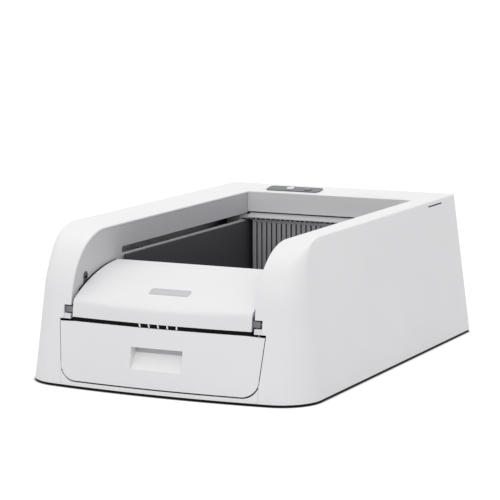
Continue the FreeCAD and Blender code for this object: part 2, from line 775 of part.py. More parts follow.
def rear_inner_cover():
    """Bent panel: upper rear wall, shelf over the parked rake, and back panel behind the tray."""
    half = OPENING_HALF - LINER_GAP
    t = REAR_COVER_WALL
    top = deck_z(REAR_INNER_Y) - SHELL_WALL - LINER_GAP
    wall = box(-half, half, REAR_INNER_Y, REAR_INNER_Y + t, REAR_SHELF_Z, top)
    shelf = box(-half, half, REAR_INNER_Y, at(BACK_PANEL) + t, REAR_SHELF_Z, REAR_SHELF_Z + t)
    panel = box(-half, half, at(BACK_PANEL), at(BACK_PANEL) + t, SHELL_Z, REAR_SHELF_Z + t)
    cover = fused([wall, shelf, panel])
    y0 = at(BACK_PANEL) + t
    for dx in (-1, 1):
        x = MAIN_BOARD_X + dx * (MAIN_BOARD_WIDTH / 2 - 2 * STANDOFF)
        for dz in (0, 1):
            z = MAIN_BOARD_LOW_Z + 2 * STANDOFF + dz * (MAIN_BOARD_HEIGHT - 4 * STANDOFF)
            cover = cover.fuse(cyl_y(y0 - 1, y0 + STANDOFF, x, z, STANDOFF))
    save("rear_inner_cover", cover)


def sensor_windows():
    x0 = LINER_IN + WINDOW_RECESS
    x1 = x0 + WINDOW_BODY
    lens = [window_prism(k, WINDOW_GAP, x0, x1, WINDOW_SPLIT_Z, WINDOW_TOP_Z) for k in (-1, 1)]
    save("sensor_lenses", lens)
    seat = [window_prism(k, WINDOW_GAP, x0, x1, WINDOW_LOW_Z, WINDOW_SPLIT_Z) for k in (-1, 1)]
    save("sensor_seats", seat)


# Base

def pan_outline(z0, z1, inset):
    wire = plan_wire(SHELL_Z, inset)
    wire.translate(V(0, 0, z0 - SHELL_Z))
    return Part.Face(wire).extrude(V(0, 0, z1 - z0))


def base_pan():
    pan = pan_outline(PAN_FLOOR_Z, SHELL_Z, PAN_INSET)
    y0 = at(TRAY_FRONT) + TRAY_CORNER_R
    y1 = at(TRAY_REAR) - TRAY_CORNER_R
    for index in range(PAN_RIB_COUNT):
        x = PAN_RIB_PITCH * (index - (PAN_RIB_COUNT - 1) / 2)
        rib = box(x - PAN_RIB / 2, x + PAN_RIB / 2, y0, y1, SHELL_Z - 1, TRAY_LOW_Z)
        pan = pan.fuse(rib)
    for x, y in screw_places():
        pan = pan.cut(cyl_z(0, SHELL_Z + 1, x, y, SCREW_R + RUN_CLEARANCE))
        recess = SCREW_HEAD_R + RUN_CLEARANCE
        pan = pan.cut(cyl_z(0, PAN_FLOOR_Z + SCREW_HEAD, x, y, recess))
    save("base_pan", pan.removeSplitter())


def base_screws():
    screws = []
    for x, y in screw_places():
        head = cyl_z(PAN_FLOOR_Z, PAN_FLOOR_Z + SCREW_HEAD, x, y, SCREW_HEAD_R)
        shank = cyl_z(PAN_FLOOR_Z, SHELL_Z + BOSS_HEIGHT / 2, x, y, SCREW_R)
        screws.append(head.fuse(shank))
    save("base_screws", screws)


def rubber_feet():
    feet = []
    for side in (-1, 1):
        x = side * (HALF_WIDTH - FOOT_INSET_X)
        for y in (FRONT_Y + FOOT_INSET_Y, 0.0, REAR_Y - FOOT_INSET_Y):
            feet.append(cyl_z(0, PAN_FLOOR_Z, x, y, FOOT_R))
    save("rubber_feet", feet)


def front_rail():
    """Thin strip under the drawer with ends that turn up round its lower corners."""
    skin = plan_body(0.0, SHELL_Z, RAIL_TOP_Z + 1)
    skin = skin.cut(plan_body(DRAWER_SKIN + 1, 0.0, RAIL_TOP_Z + 2))
    top = DRAWER_BOTTOM_Z + DRAWER_CORNER_R * 0.6
    rail = skin.common(box(-RAIL_HALF, RAIL_HALF, FRONT_Y - 5, at(DRAWER_DEPTH), SHELL_Z, top))
    rail = rail.cut(drawer_outline(RAIL_GAP))
    save("front_rail", rail)


# Waste drawer

def pocket_profile(x, grow):
    """Side view of the finger pocket: flat ceiling, upright back, floor sloping to the front."""
    y0 = FRONT_Y - 15
    back = at(POCKET_DEPTH) + grow
    top = POCKET_TOP_Z + grow
    low = POCKET_LOW_Z - grow
    knee = POCKET_KNEE_Z - grow
    points = [V(x, y0, low), V(x, y0, top), V(x, back, top), V(x, back, knee)]
    edges = [line(points[0], points[1]), line(points[1], points[2]), line(points[2], points[3])]
    foot = V(x, at(POCKET_FOOT), low)
    mid = V(x, (back + foot.y) / 2 + POCKET_DISH, (knee + low) / 2 - POCKET_DISH)
    edges.append(arc(points[3], mid, foot))
    edges.append(line(foot, points[0]))
    return Part.Face(Part.Wire(edges))


def pocket_solid(grow):
    half = POCKET_HALF + grow
    form = pocket_profile(-half, grow).extrude(V(2 * half, 0, 0))
    low = POCKET_LOW_Z - grow
    corner = [e for e in form.Edges if abs(e.Vertexes[0].Z - low) < 1e-6]
    corner = [e for e in corner if len(e.Vertexes) == 2 and abs(e.Vertexes[1].Z - low) < 1e-6]
    corner = [e for e in corner if abs(e.Vertexes[0].X - e.Vertexes[1].X) < 1e-6]
    return form.makeFillet(POCKET_CORNER_R, corner)


def screw_spots():
    """Screws that hold the waste bin to the drawer front, as X and Z."""
    spots = []
    for side in (-1, 1):
        for z in (BIN_SCREW_LOW_Z, BIN_SCREW_LOW_Z + BIN_SCREW_PITCH):
            spots.append((side * (BIN_HALF - BIN_SCREW_INSET), z))
    return spots


def drawer_front():
    back = at(DRAWER_DEPTH)
    block = plan_body(0.0, 0.0, HEIGHT).common(drawer_outline(0.0))
    lip = block.common(box(-FAR, FAR, FRONT_Y - 5, back, 0, HEIGHT))
    hollow = plan_body(DRAWER_SKIN, 0.0, HEIGHT).common(drawer_outline(-DRAWER_SKIN))
    hollow = hollow.common(box(-FAR, FAR, FRONT_Y, FAR, 0, DRAWER_SHOULDER_Z - DRAWER_SKIN))
    above = plan_body(DRAWER_SKIN, 0.0, HEIGHT)
    above = above.common(box(-FAR, FAR, FRONT_Y, FAR, DRAWER_SHOULDER_Z, HEIGHT))
    front = lip.cut(hollow).cut(above)
    low = DRAWER_TOP_Z - DRAWER_LIP_DROP
    relief = [plan_wire(low, DRAWER_SKIN * 1.2), plan_wire(DRAWER_TOP_Z + 1, DRAWER_LIP)]
    relief = Part.makeLoft(relief, True, True)
    front = front.cut(relief.common(box(-FAR, FAR, FRONT_Y, back, low, HEIGHT)))
    over = DRAWER_TOP_Z + 1
    points = [V(-FAR, at(DRAWER_END_DEPTH), DRAWER_TOP_Z), V(-FAR, back, DRAWER_TOP_Z - DRAWER_END_DROP)]
    points += [V(-FAR, back + 1, over), V(-FAR, at(DRAWER_END_DEPTH), over)]
    front = front.cut(prism(points, V(2 * FAR, 0, 0)))
    pocket = pocket_solid(POCKET_WALL).common(plan_body(0.0, 0.0, HEIGHT))
    front = front.fuse(pocket)
    for x, z in screw_spots():
        boss = cyl_y(FRONT_Y, back, x, z, BOSS_R)
        boss = boss.common(plan_body(DRAWER_SKIN / 2, 0.0, HEIGHT))
        front = front.fuse(boss)
        front = front.cut(cyl_y(back - 12, back + 1, x, z, SCREW_R + THREAD_CLEARANCE))
    front = front.cut(pocket_solid(0.0))
    save("drawer_front", front.removeSplitter())


def waste_bin():
    y0 = at(DRAWER_DEPTH)
    y1 = y0 + BIN_LENGTH
    body = rounded_box(-BIN_HALF, BIN_HALF, y0, y1, DRAWER_BOTTOM_Z, BIN_TOP_Z, BIN_CORNER_R)
    t = BIN_WALL
    inner_r = BIN_CORNER_R - t
    low = DRAWER_BOTTOM_Z + t
    hollow = rounded_box(-BIN_HALF + t, BIN_HALF - t, y0 + t, y1 - t, low, HEIGHT, inner_r)
    body = body.cut(hollow)
    for x, z in screw_spots():
        body = body.cut(cyl_y(y0 - 1, y0 + t + 1, x, z, SCREW_R + THREAD_CLEARANCE))
    save("waste_bin", body)


def drawer_screws():
    inside = at(DRAWER_DEPTH) + BIN_WALL
    screws = []
    for x, z in screw_spots():
        head = cyl_y(inside, inside + SCREW_HEAD, x, z, SCREW_HEAD_R)
        shank = cyl_y(inside - 11, inside, x, z, SCREW_R)
        screws.append(head.fuse(shank))
    save("drawer_screws", screws)


def drawer_runners():
    y0 = at(DRAWER_DEPTH) + SLIDE_CLEARANCE + BIN_WALL
    y1 = at(DRAWER_DEPTH) + BIN_LENGTH
    rails = []
    inner = BIN_HALF + SLIDE_CLEARANCE
    ledge_top = DRAWER_BOTTOM_Z - SLIDE_CLEARANCE
    for side in (-1, 1):
        a, b = sorted((side * (inner - RUNNER_WIDTH), side * (inner + RUNNER_UPRIGHT)))
        c, d = sorted((side * inner, side * (inner + RUNNER_UPRIGHT)))
        ledge = box(a, b, y0, y1, SHELL_Z, ledge_top)
        upright = box(c, d, y0, y1, SHELL_Z, RUNNER_TOP_Z)
        rails.append(fused([ledge, upright]))
    save("drawer_runners", rails)


# Step ramp

def ramp_profile(x, inset):
    """Side view of the ramp: upright front, long convex top, short drop at the rear."""
    radius = RAMP_ARC_R - inset
    centre_z = RAMP_CREST_Z - RAMP_ARC_R

    def top(depth):
        return centre_z + math.sqrt(radius ** 2 - (depth - RAMP_CREST) ** 2)

    start = -RAMP_OVERRUN
    end = RAMP_REAR - inset
    mid = (start + end) / 2
    low = RAMP_LOW_Z
    a = V(x, at(start), low)
    b = V(x, at(start), top(start))
    c = V(x, at(mid), top(mid))
    d = V(x, at(end), top(end))
    e = V(x, at(end), low)
    edges = [line(a, b), arc(b, c, d), line(d, e), line(e, a)]
    return Part.Face(Part.Wire(edges))


def ramp_form(half, inset, front_inset):
    form = ramp_profile(-half, inset).extrude(V(2 * half, 0, 0))
    return form.common(plan_body(front_inset, SHELL_Z, HEIGHT))


def ramp_skirt():
    """Cuts the rear end wall short and the side walls to a line that rises to the rear."""
    x = RAMP_HALF + 1
    rear_low = RAMP_CREST_Z - RAMP_REAR_LIP
    points = [
        V(-x, at(HINGE_D + 18), RAMP_LOW_Z - 1),
        V(-x, at(RAMP_REAR) + 1, RAMP_LOW_Z - 1),
        V(-x, at(RAMP_REAR) + 1, rear_low),
        V(-x, at(RAMP_REAR) - 12, rear_low),
        V(-x, at(HINGE_D + 60), RAMP_NOSE_Z + 6),
        V(-x, at(HINGE_D + 18), RAMP_NOSE_Z - 8),
    ]
    return prism(points, V(2 * x, 0, 0))


def ramp_top_edges(form):
    """Edges round the top of the ramp at its front, sides and rear."""
    nose = []
    sides = []
    for edge in form.Edges:
        first = edge.FirstParameter
        span = edge.LastParameter - first
        spots = [edge.valueAt(first + span * k / 4) for k in range(5)]
        if min(p.z for p in spots) < RAMP_LOW_Z + 10:
            continue
        if max(p.y for p in spots) < at(HINGE_D) and max(abs(p.x) for p in spots) > 20:
            nose.append(edge)
        else:
            sides.append(edge)
    return nose, sides


def badge_blank(grow, z0, z1):
    half = BADGE_LENGTH / 2 + grow
    depth = BADGE_DEPTH / 2 + grow
    y = at(BADGE_D)
    return rounded_box(BADGE_X - half, BADGE_X + half, y - depth, y + depth, z0, z1, 4.0 + grow)


def ramp_solid():
    form = ramp_form(RAMP_HALF, 0.0, RAMP_SETBACK)
    nose, sides = ramp_top_edges(form)
    form = form.makeFillet(RAMP_NOSE_R, nose)
    nose, sides = ramp_top_edges(form)
    return form


def step_ramp():
    form = ramp_solid()
    inner = ramp_form(RAMP_HALF - RAMP_WALL, RAMP_WALL, RAMP_SETBACK + RAMP_WALL)
    drop = inner.copy()
    drop.translate(V(0, 0, -RAMP_WALL))
    ramp = form.cut(inner).cut(drop).cut(ramp_skirt())
    recess = badge_blank(0.15, 0, HEIGHT).common(ramp_form(RAMP_HALF, -5.0, 0.0))
    floor = ramp_form(RAMP_HALF, BADGE_SINK, RAMP_SETBACK)
    ramp = ramp.cut(recess.cut(floor))
    save("step_ramp", ramp)


def badge_plate():
    plate = badge_blank(0.0, 0, HEIGHT)
    plate = plate.common(ramp_form(RAMP_HALF, -BADGE_PROUD, RAMP_SETBACK))
    plate = plate.cut(ramp_form(RAMP_HALF, BADGE_SINK, RAMP_SETBACK))
    save("badge_plate", plate)


def hinge_lug(side):
    """Square lug on an end plate, with a round pin that turns in the hinge block."""
    y = at(HINGE_D)
    h = LUG_SIZE / 2
    plate = box(RAMP_HALF, RAMP_HALF + LUG_PLATE, y - 9, y + 16, RAMP_LOW_Z, RAMP_NOSE_Z - 6)
    plate = plate.common(plan_body(3.0, SHELL_Z, HEIGHT))
    end = RAMP_HALF + LUG_LENGTH
    lug = box(RAMP_HALF, end, y - h, y + h, HINGE_Z - h, HINGE_Z + h)
    pin_end = NOTCH_OUTER + LUG_PIN_LENGTH
    pin = cyl_x(end - 1, pin_end, y, HINGE_Z, LUG_PIN_R)
    solid = fused([plate, lug, pin])
    return solid if side > 0 else mirrored(solid)


def hinge_block(side):
    """Seat in the wall notch: a low block under the lug and a bored wall outside it."""
    y = at(HINGE_D)
    y1 = at(NOTCH_DEPTH)
    front = plan_body(1.2, SHELL_Z, HEIGHT)
    inner = OPENING_HALF
    outer = NOTCH_OUTER + BLOCK_WALL
    seat = box(inner, outer, FRONT_Y, y1, NOTCH_LOW_Z, HINGE_Z - SEAT_DROP)
    wall = box(NOTCH_OUTER, outer, y - 8, y1, NOTCH_LOW_Z, NOTCH_TOP_Z)
    back = box(inner, outer, y1 - SHELL_WALL, y1, NOTCH_LOW_Z, NOTCH_TOP_Z)
    beyond = wall_form(inner, HALF_WIDTH + REAR_CORNER_R, SHELL_WALL + SEAM_GAP, SHELL_Z)
    seat = seat.common(front)
    solid = seat.fuse(wall.common(beyond)).fuse(back)
    solid = solid.cut(cyl_x(inner, outer + 1, y, HINGE_Z, LUG_PIN_R + RUN_CLEARANCE))
    keep = box(inner, NOTCH_OUTER - 0.3, FRONT_Y, y1, 0, HEIGHT).fuse(beyond)
    solid = solid.common(keep).removeSplitter()
    return solid if side > 0 else mirrored(solid)


def front_band(inset, thick, half, z0, z1):
    """A strip that follows the bowed, leaning front."""
    outer = plan_body(inset, SHELL_Z, HEIGHT)
    inner = plan_body(inset + thick, SHELL_Z - 1, HEIGHT + 1)
    return outer.cut(inner).common(box(-half, half, FRONT_Y, at(NOTCH_DEPTH), z0, z1))


def light_tool(index, thick):
    """One slanted light bar, as a box through the strip."""
    x = LIGHT_PITCH * (index - (LIGHT_COUNT - 1) / 2)
    tall = 3 * (RAMP_LOW_Z - STRIP_LOW_Z)
    bar = box(-LIGHT_WIDTH / 2, LIGHT_WIDTH / 2, -thick, thick, -tall / 2, tall / 2)
    bar.rotate(V(0, 0, 0), V(0, 1, 0), -LIGHT_LEAN[index])
    bar.translate(V(x, at(STRIP_THICK * 3), (RAMP_LOW_Z + STRIP_LOW_Z) / 2))
    return bar


def light_strip():
    """Dark strip under the ramp's front wall, with a flange up behind that wall."""
    strip = front_band(STRIP_RECESS, STRIP_THICK, RAMP_HALF, STRIP_LOW_Z, RAMP_LOW_Z)
    behind = RAMP_SETBACK + RAMP_WALL + STRIP_GAP
    half = RAMP_HALF - RAMP_WALL - STRIP_GAP
    top = RAMP_LOW_Z + STRIP_FLANGE
    thick = STRIP_RECESS + STRIP_THICK - behind
    strip = strip.fuse(front_band(behind, thick, half, RAMP_LOW_Z - 1, top)).removeSplitter()
    tools = [light_tool(k, 20.0) for k in range(LIGHT_COUNT)]
    window = front_band(0.0, 2 * STRIP_RECESS + 1, RAMP_HALF, STRIP_LOW_Z + 0.4, RAMP_LOW_Z - 0.4)
    for tool in tools:
        strip = strip.cut(tool.common(window))
    save("light_strip", strip)


def status_light_bars():
    band = front_band(STRIP_RECESS - LIGHT_PROUD, 2 * STRIP_RECESS + 1 - (STRIP_RECESS - LIGHT_PROUD),
                      RAMP_HALF, STRIP_LOW_Z + 0.4, RAMP_LOW_Z - 0.4)
    save("status_light_bars", [light_tool(k, 20.0).common(band) for k in range(LIGHT_COUNT)])


def light_board():
    half = LIGHT_PITCH * (LIGHT_COUNT + 1) / 2
    inset = STRIP_RECESS + STRIP_THICK + STRIP_GAP
    save("light_board", front_band(inset, LIGHT_BOARD, half, STRIP_LOW_Z, RAMP_LOW_Z))


# Litter tray and scoop

def litter_tray():
    y0 = at(TRAY_FRONT)
    y1 = at(TRAY_REAR)
    t = TRAY_WALL
    h = TRAY_HALF
    body = rounded_box(-h, h, y0, y1, TRAY_LOW_Z, TRAY_RIM_Z, TRAY_CORNER_R)
    rim = h + TRAY_RIM
    body = body.fuse(box(-rim, rim, y0 + TRAY_CORNER_R, y1 - TRAY_CORNER_R,
                         TRAY_RIM_Z - t, TRAY_RIM_Z))
    inner_r = TRAY_CORNER_R - t
    body = body.cut(rounded_box(-h + t, h - t, y0 + t, y1 - t, TRAY_LOW_Z + t, HEIGHT, inner_r))
    body = body.cut(box(-h + t, h - t, y0 - 1, y0 + TRAY_CORNER_R, TRAY_FRONT_TOP_Z, HEIGHT))
    save("litter_tray", body.removeSplitter())


def scoop_turned(shape):
    """Turns a piece made level behind the scoop's shaft down to its resting slope."""
    moved = shape.copy()
    moved.rotate(V(0, 0, 0), V(1, 0, 0), -SCOOP_ANGLE)
    moved.translate(V(0, at(SCOOP_D), SCOOP_Z))
    return moved


def waste_scoop():
    t = SCOOP_WALL
    h = SCOOP_HALF
    plate = box(-h, h, 0, SCOOP_LENGTH, -t / 2, t / 2)
    boss = cyl_x(-h, h, 0, 0, SCOOP_BOSS_R)
    cheek_points = [
        V(-h, SCOOP_BOSS_R * 0.5, 0),
        V(-h, SCOOP_LENGTH, 0),
        V(-h, SCOOP_LENGTH * 0.62, SCOOP_CHEEK),
        V(-h, SCOOP_BOSS_R * 0.5, SCOOP_BOSS_R * 0.8),
    ]
    cheek = prism(cheek_points, V(t, 0, 0))
    solid = fused([plate, boss, cheek, mirrored(cheek)])
    solid = solid.cut(cyl_x(-h - 1, h + 1, 0, 0, SCOOP_SHAFT_R))
    save("waste_scoop", scoop_turned(solid))


def scoop_shaft():
    left = -(LINER_OUT + BUSH_LENGTH + MOTOR_SOCKET)
    right = LINER_IN + BUSH_LENGTH
    save("scoop_shaft", cyl_x(left, right, at(SCOOP_D), SCOOP_Z, SCOOP_SHAFT_R))


def scoop_bushes():
    bushes = []
    bore = SCOOP_SHAFT_R + RUN_CLEARANCE
    for side in (-1, 1):
        x0 = LINER_IN
        x1 = LINER_IN + BUSH_LENGTH + LINER_WALL
        body = cyl_x(x0, x1, at(SCOOP_D), SCOOP_Z, BUSH_R)
        flange = cyl_x(LINER_OUT, x1, at(SCOOP_D), SCOOP_Z, BUSH_R + 3)
        body = body.fuse(flange).cut(cyl_x(x0 - 1, x1 + 1, at(SCOOP_D), SCOOP_Z, bore))
        bushes.append(body if side > 0 else mirrored(body))
    save("scoop_bushes", bushes)


def scoop_motor():
    x0 = LINER_IN + BUSH_LENGTH + LINER_WALL
    y = at(SCOOP_D)
    can = cyl_x(x0, x0 + SCOOP_MOTOR_LENGTH, y, SCOOP_Z, SCOOP_MOTOR_R)
    socket = cyl_x(x0 - 1, x0 + MOTOR_SOCKET, y, SCOOP_Z, SCOOP_SHAFT_R + RUN_CLEARANCE)
    save("scoop_motor", mirrored(can.cut(socket)))


# Rake

def rake_beam():
    """Hooded beam with a rounded nose, and a flat tongue out of each end."""
    x = -BEAM_HALF
    y0 = at(RAKE_PARK + BEAM_FRONT)
    y1 = at(RAKE_PARK + BEAM_REAR)
    r = BEAM_NOSE_R
    turn = math.radians(65.0)
    nose_c = V(x, y0 + r, BEAM_NOSE_Z - r)
    tip = V(x, nose_c.y - r * math.cos(turn), nose_c.z + r * math.sin(turn))
    half = V(x, nose_c.y - r * math.cos(turn / 2), nose_c.z + r * math.sin(turn / 2))
    crest = V(x, y0 + (y1 - y0) * 0.75, BEAM_TOP_Z)
    low = BEAM_LOW_Z
    lip = low + BEAM_LIP
    front = at(RAKE_PARK + TINE_OFFSET)
    edges = [
        line(V(x, y0, lip), V(x, y0, nose_c.z)),
        arc(V(x, y0, nose_c.z), half, tip),
        line(tip, crest),
        line(crest, V(x, y1, BEAM_TOP_Z)),
        line(V(x, y1, BEAM_TOP_Z), V(x, y1, low)),
        line(V(x, y1, low), V(x, front, low)),
        line(V(x, front, low), V(x, front, lip)),
        line(V(x, front, lip), V(x, y0, lip)),
    ]
    beam = Part.Face(Part.Wire(edges)).extrude(V(2 * BEAM_HALF, 0, 0))
    yc = at(RAKE_PARK)
    for side in (-1, 1):
        a, b = sorted((side * (BEAM_HALF - 1), side * TROLLEY_INNER))
        tongue = box(a, b, yc - TONGUE_HALF, yc + TONGUE_HALF, TONGUE_LOW_Z, TONGUE_TOP_Z)
        beam = beam.fuse(tongue)
    save("rake_beam", beam.removeSplitter())


def rake_comb():
    """Plate cut into upright tines, hung under the beam."""
    half = (TINE_COUNT * TINE_PITCH - TINE_GAP) / 2
    y0 = at(RAKE_PARK + TINE_OFFSET)
    y1 = y0 + TINE_THICK
    plate = box(-half, half, y0, y1, TINE_TIP_Z, BEAM_LOW_Z)
    gaps = []
    for index in range(1, TINE_COUNT):
        x = -half - TINE_GAP / 2 + index * TINE_PITCH
        slot = box(x - TINE_GAP / 2, x + TINE_GAP / 2, y0 - 1, y1 + 1, TINE_TIP_Z - 1, TINE_ROOT_Z)
        gaps.append(slot)
    save("rake_comb", plate.cut(Part.makeCompound(gaps)))


def trolley(side):
    """Carriage block in the wall, bored for its guide rod."""
    y = at(RAKE_PARK)
    body = box(TROLLEY_INNER, TROLLEY_OUTER, y - TROLLEY_HALF, y + TROLLEY_HALF,
               TROLLEY_LOW_Z, TROLLEY_TOP_Z)
    bore = cyl_y(y - TROLLEY_HALF - 1, y + TROLLEY_HALF + 1, ROD_X, ROD_Z, ROD_R + RUN_CLEARANCE)
    body = body.cut(bore)
    return body if side > 0 else mirrored(body)


def belt_clamp(side):
    """Clamp on the carriage that closes round the belt's lower run."""
    y = at(RAKE_PARK)
    mid = (PULLEY_INNER + PULLEY_OUTER) / 2
    wide = PULLEY_WIDTH / 2 + CLAMP_CHEEK
    body = box(mid - wide, mid + wide, y - CLAMP_HALF, y + CLAMP_HALF, TROLLEY_TOP_Z, CLAMP_TOP_Z)
    run_low = SHAFT_Z - PULLEY_R - BELT_GAP - BELT_THICK
    run_high = SHAFT_Z - PULLEY_R - BELT_GAP
    g = SLIDE_CLEARANCE
    x0 = PULLEY_INNER + PULLEY_FLANGE
    x1 = PULLEY_OUTER - PULLEY_FLANGE
    passage = box(x0 - g, x1 + g, y - 2 * CLAMP_HALF, y + 2 * CLAMP_HALF, run_low - g, run_high + g)
    body = body.cut(passage)
    return body if side > 0 else mirrored(body)


def guide_rod(side):
    return cyl_y(at(ROD_FRONT), at(ROD_REAR), side * ROD_X, ROD_Z, ROD_R)


def idler_bracket(side):
    """Front bracket on the inner wall: holds the rod's end and the idler's pin."""
    y0 = at(ROD_FRONT)
    arm_low = ROD_Z - ROD_R - BRACKET_DEPTH
    arm = box(LINER_OUT, TROLLEY_OUTER, y0, y0 + BRACKET_DEPTH, arm_low, ROD_Z + ROD_R + BRACKET_LIP)
    y = at(IDLER_D)
    plate = box(LINER_OUT, LINER_OUT + IDLER_PLATE, y0, y + PULLEY_R, arm_low, SHAFT_Z + PULLEY_R)
    pin = cyl_x(LINER_OUT + 1, PULLEY_OUTER + 1, y, SHAFT_Z, SHAFT_R)
    body = fused([arm, plate, pin])
    body = body.cut(cyl_y(y0 - 1, at(IDLER_D) + PULLEY_R + 1, ROD_X, ROD_Z, ROD_R))
    return body if side > 0 else mirrored(body)


def rod_bracket(side):
    """Rear bracket on the inner wall for the guide rod."""
    y1 = at(ROD_REAR)
    low = ROD_Z - ROD_R - BRACKET_DEPTH
    arm = box(LINER_OUT, TROLLEY_OUTER, y1 - BRACKET_DEPTH, y1, low, ROD_Z + ROD_R + BRACKET_LIP)
    arm = arm.cut(cyl_y(y1 - 2 * BRACKET_DEPTH, y1 + 1, ROD_X, ROD_Z, ROD_R))
    return arm if side > 0 else mirrored(arm)


def pulley(side, depth, bore):
    y = at(depth)
    drum = cyl_x(PULLEY_INNER, PULLEY_OUTER, y, SHAFT_Z, PULLEY_R)
    for x0 in (PULLEY_INNER, PULLEY_OUTER - PULLEY_FLANGE):
        drum = drum.fuse(cyl_x(x0, x0 + PULLEY_FLANGE, y, SHAFT_Z, PULLEY_FLANGE_R))
    drum = drum.cut(cyl_x(PULLEY_INNER - 1, PULLEY_OUTER + 1, y, SHAFT_Z, bore)).removeSplitter()
    return drum if side > 0 else mirrored(drum)


def belt_loop(x0, x1, r):
    """A filled round-ended loop over both pulleys."""
    y0 = at(IDLER_D)
    y1 = at(SHAFT_D)
    middle = box(x0, x1, y0, y1, SHAFT_Z - r, SHAFT_Z + r)
    return fused([middle, cyl_x(x0, x1, y0, SHAFT_Z, r), cyl_x(x0, x1, y1, SHAFT_Z, r)])


def drive_belt(side):
    x0 = PULLEY_INNER + PULLEY_FLANGE + BELT_GAP
    x1 = PULLEY_OUTER - PULLEY_FLANGE - BELT_GAP
    inner = PULLEY_R + BELT_GAP
    loop = belt_loop(x0, x1, inner + BELT_THICK)
    loop = loop.cut(belt_loop(x0 - 1, x1 + 1, inner))
    return loop if side > 0 else mirrored(loop)


def bearing(side):
    y = at(SHAFT_D)
    h = BEARING_SIZE / 2
    block = box(LINER_OUT, LINER_OUT + BEARING_DEPTH, y - h, y + h, SHAFT_Z - h, SHAFT_Z + h)
    block = block.cut(cyl_x(0, HALF_WIDTH, y, SHAFT_Z, SHAFT_R + RUN_CLEARANCE))
    return block if side > 0 else mirrored(block)


def gear(teeth, x0, x1, y, z, phase, bore):
    """Spur gear about an axis along X, with flank points on the involute of its base circle."""
    pitch_r = GEAR_MODULE * teeth / 2
    base_r = pitch_r * math.cos(PRESSURE_ANGLE)
    tip_r = pitch_r + GEAR_MODULE * TOOTH_ADDENDUM
    root_r = pitch_r - GEAR_MODULE * TOOTH_DEDENDUM
    half = math.pi / (2 * teeth) - TOOTH_BACKLASH / (2 * pitch_r)
    start = math.tan(PRESSURE_ANGLE) - PRESSURE_ANGLE
    flank_low = max(base_r, root_r)
    steps = 5
    flank = []
    for k in range(steps + 1):
        r = flank_low + (tip_r - flank_low) * k / steps
        turn = math.acos(min(1.0, base_r / r))
        flank.append((r, half + start - (math.tan(turn) - turn)))
    if root_r < flank_low:
        flank.insert(0, (root_r, flank[0][1]))
    points = []
    for tooth in range(teeth):
        middle = phase + 2 * math.pi * tooth / teeth
        around = [(r, middle - a) for r, a in flank]
        around += [(r, middle + a) for r, a in reversed(flank)]
        points += [V(x0, y + r * math.cos(a), z + r * math.sin(a)) for r, a in around]
    body = prism(points, V(x1 - x0, 0, 0))
    return body.cut(cyl_x(x0 - 1, x1 + 1, y, z, bore))


def drive_train():
    y = at(SHAFT_D)
    save("drive_shaft", cyl_x(-SHAFT_HALF, SHAFT_HALF, y, SHAFT_Z, SHAFT_R))
    down = -math.pi / 2
    gap = down + math.pi / GEAR_TEETH
    x1 = GEAR_X + GEAR_WIDTH
    save("shaft_gear", gear(GEAR_TEETH, GEAR_X, x1, y, SHAFT_Z, gap, SHAFT_R))
    low = SHAFT_Z - GEAR_MODULE * (GEAR_TEETH + PINION_TEETH) / 2
    e = PINION_EXTRA
    pinion = gear(PINION_TEETH, GEAR_X - e, x1 + e, y, low, math.pi / 2, MOTOR_SHAFT_R)
    save("motor_pinion", pinion)
    face = x1 + e + MOTOR_PLATE + 1
    save("motor_shaft", cyl_x(GEAR_X - e, face + MOTOR_SOCKET, y, low, MOTOR_SHAFT_R))
    can = cyl_x(face, face + MOTOR_LENGTH, y, low, MOTOR_R)
    can = can.cut(cyl_x(face - 1, face + MOTOR_SOCKET, y, low, MOTOR_SHAFT_R + RUN_CLEARANCE))
    save("rake_motor", can)
    plate = box(face - MOTOR_PLATE, face, at(BACK_PANEL) + REAR_COVER_WALL, y + MOTOR_R,
                low - MOTOR_R, low + MOTOR_R)
    plate = plate.cut(cyl_x(face - MOTOR_PLATE - 1, face + 1, y, low, MOTOR_BOSS_R))
    save("motor_bracket", plate)


# Control panel and electrics

def control_panel():
    half = PANEL_LENGTH / 2
    depth = PANEL_DEPTH / 2
    plate = rounded_box(-half, half, -depth, depth, 0, PANEL_THICK, PANEL_CORNER_R)
    for hole in button_holes() + panel_led_tools(RUN_CLEARANCE):
        plate = plate.cut(hole)
    save("control_panel", on_deck(plate))


def panel_led_tools(grow):
    x = -PANEL_LENGTH / 2 + 2 * LED_OFFSET
    top = PANEL_THICK + 0.2
    return [cyl_z(0, top, x, LED_PITCH * (k - 1), LED_R + grow) for k in range(3)]


def panel_lights():
    save("panel_lights", [on_deck(tool) for tool in panel_led_tools(0.0)])


def push_button(index):
    top = PANEL_THICK + BUTTON_PROUD
    body = cyl_z(top - BUTTON_HEIGHT, top, button_x(index), 0, BUTTON_R)
    ball_z = top - BUTTON_DISH + BUTTON_DISH_R
    dish = Part.makeSphere(BUTTON_DISH_R, V(button_x(index), 0, ball_z))
    return on_deck(body.cut(dish))


def control_board():
    half = PANEL_LENGTH / 2
    depth = PANEL_DEPTH / 2
    low = -BOARD_DROP - BOARD_THICK
    board = box(-half, half, -depth, depth, low, -BOARD_DROP)
    s = SWITCH_SIZE / 2
    top = PANEL_THICK + BUTTON_PROUD - BUTTON_HEIGHT - SWITCH_GAP
    for index in range(2):
        x = button_x(index)
        board = board.fuse(box(x - s, x + s, -s, s, low, top))
    save("control_board", on_deck(board.removeSplitter()))


def main_board():
    y0 = at(BACK_PANEL) + REAR_COVER_WALL + STANDOFF
    x0 = MAIN_BOARD_X - MAIN_BOARD_WIDTH / 2
    z1 = MAIN_BOARD_LOW_Z + MAIN_BOARD_HEIGHT
    board = box(x0, x0 + MAIN_BOARD_WIDTH, y0, y0 + BOARD_THICK, MAIN_BOARD_LOW_Z, z1)
    save("main_board", board)


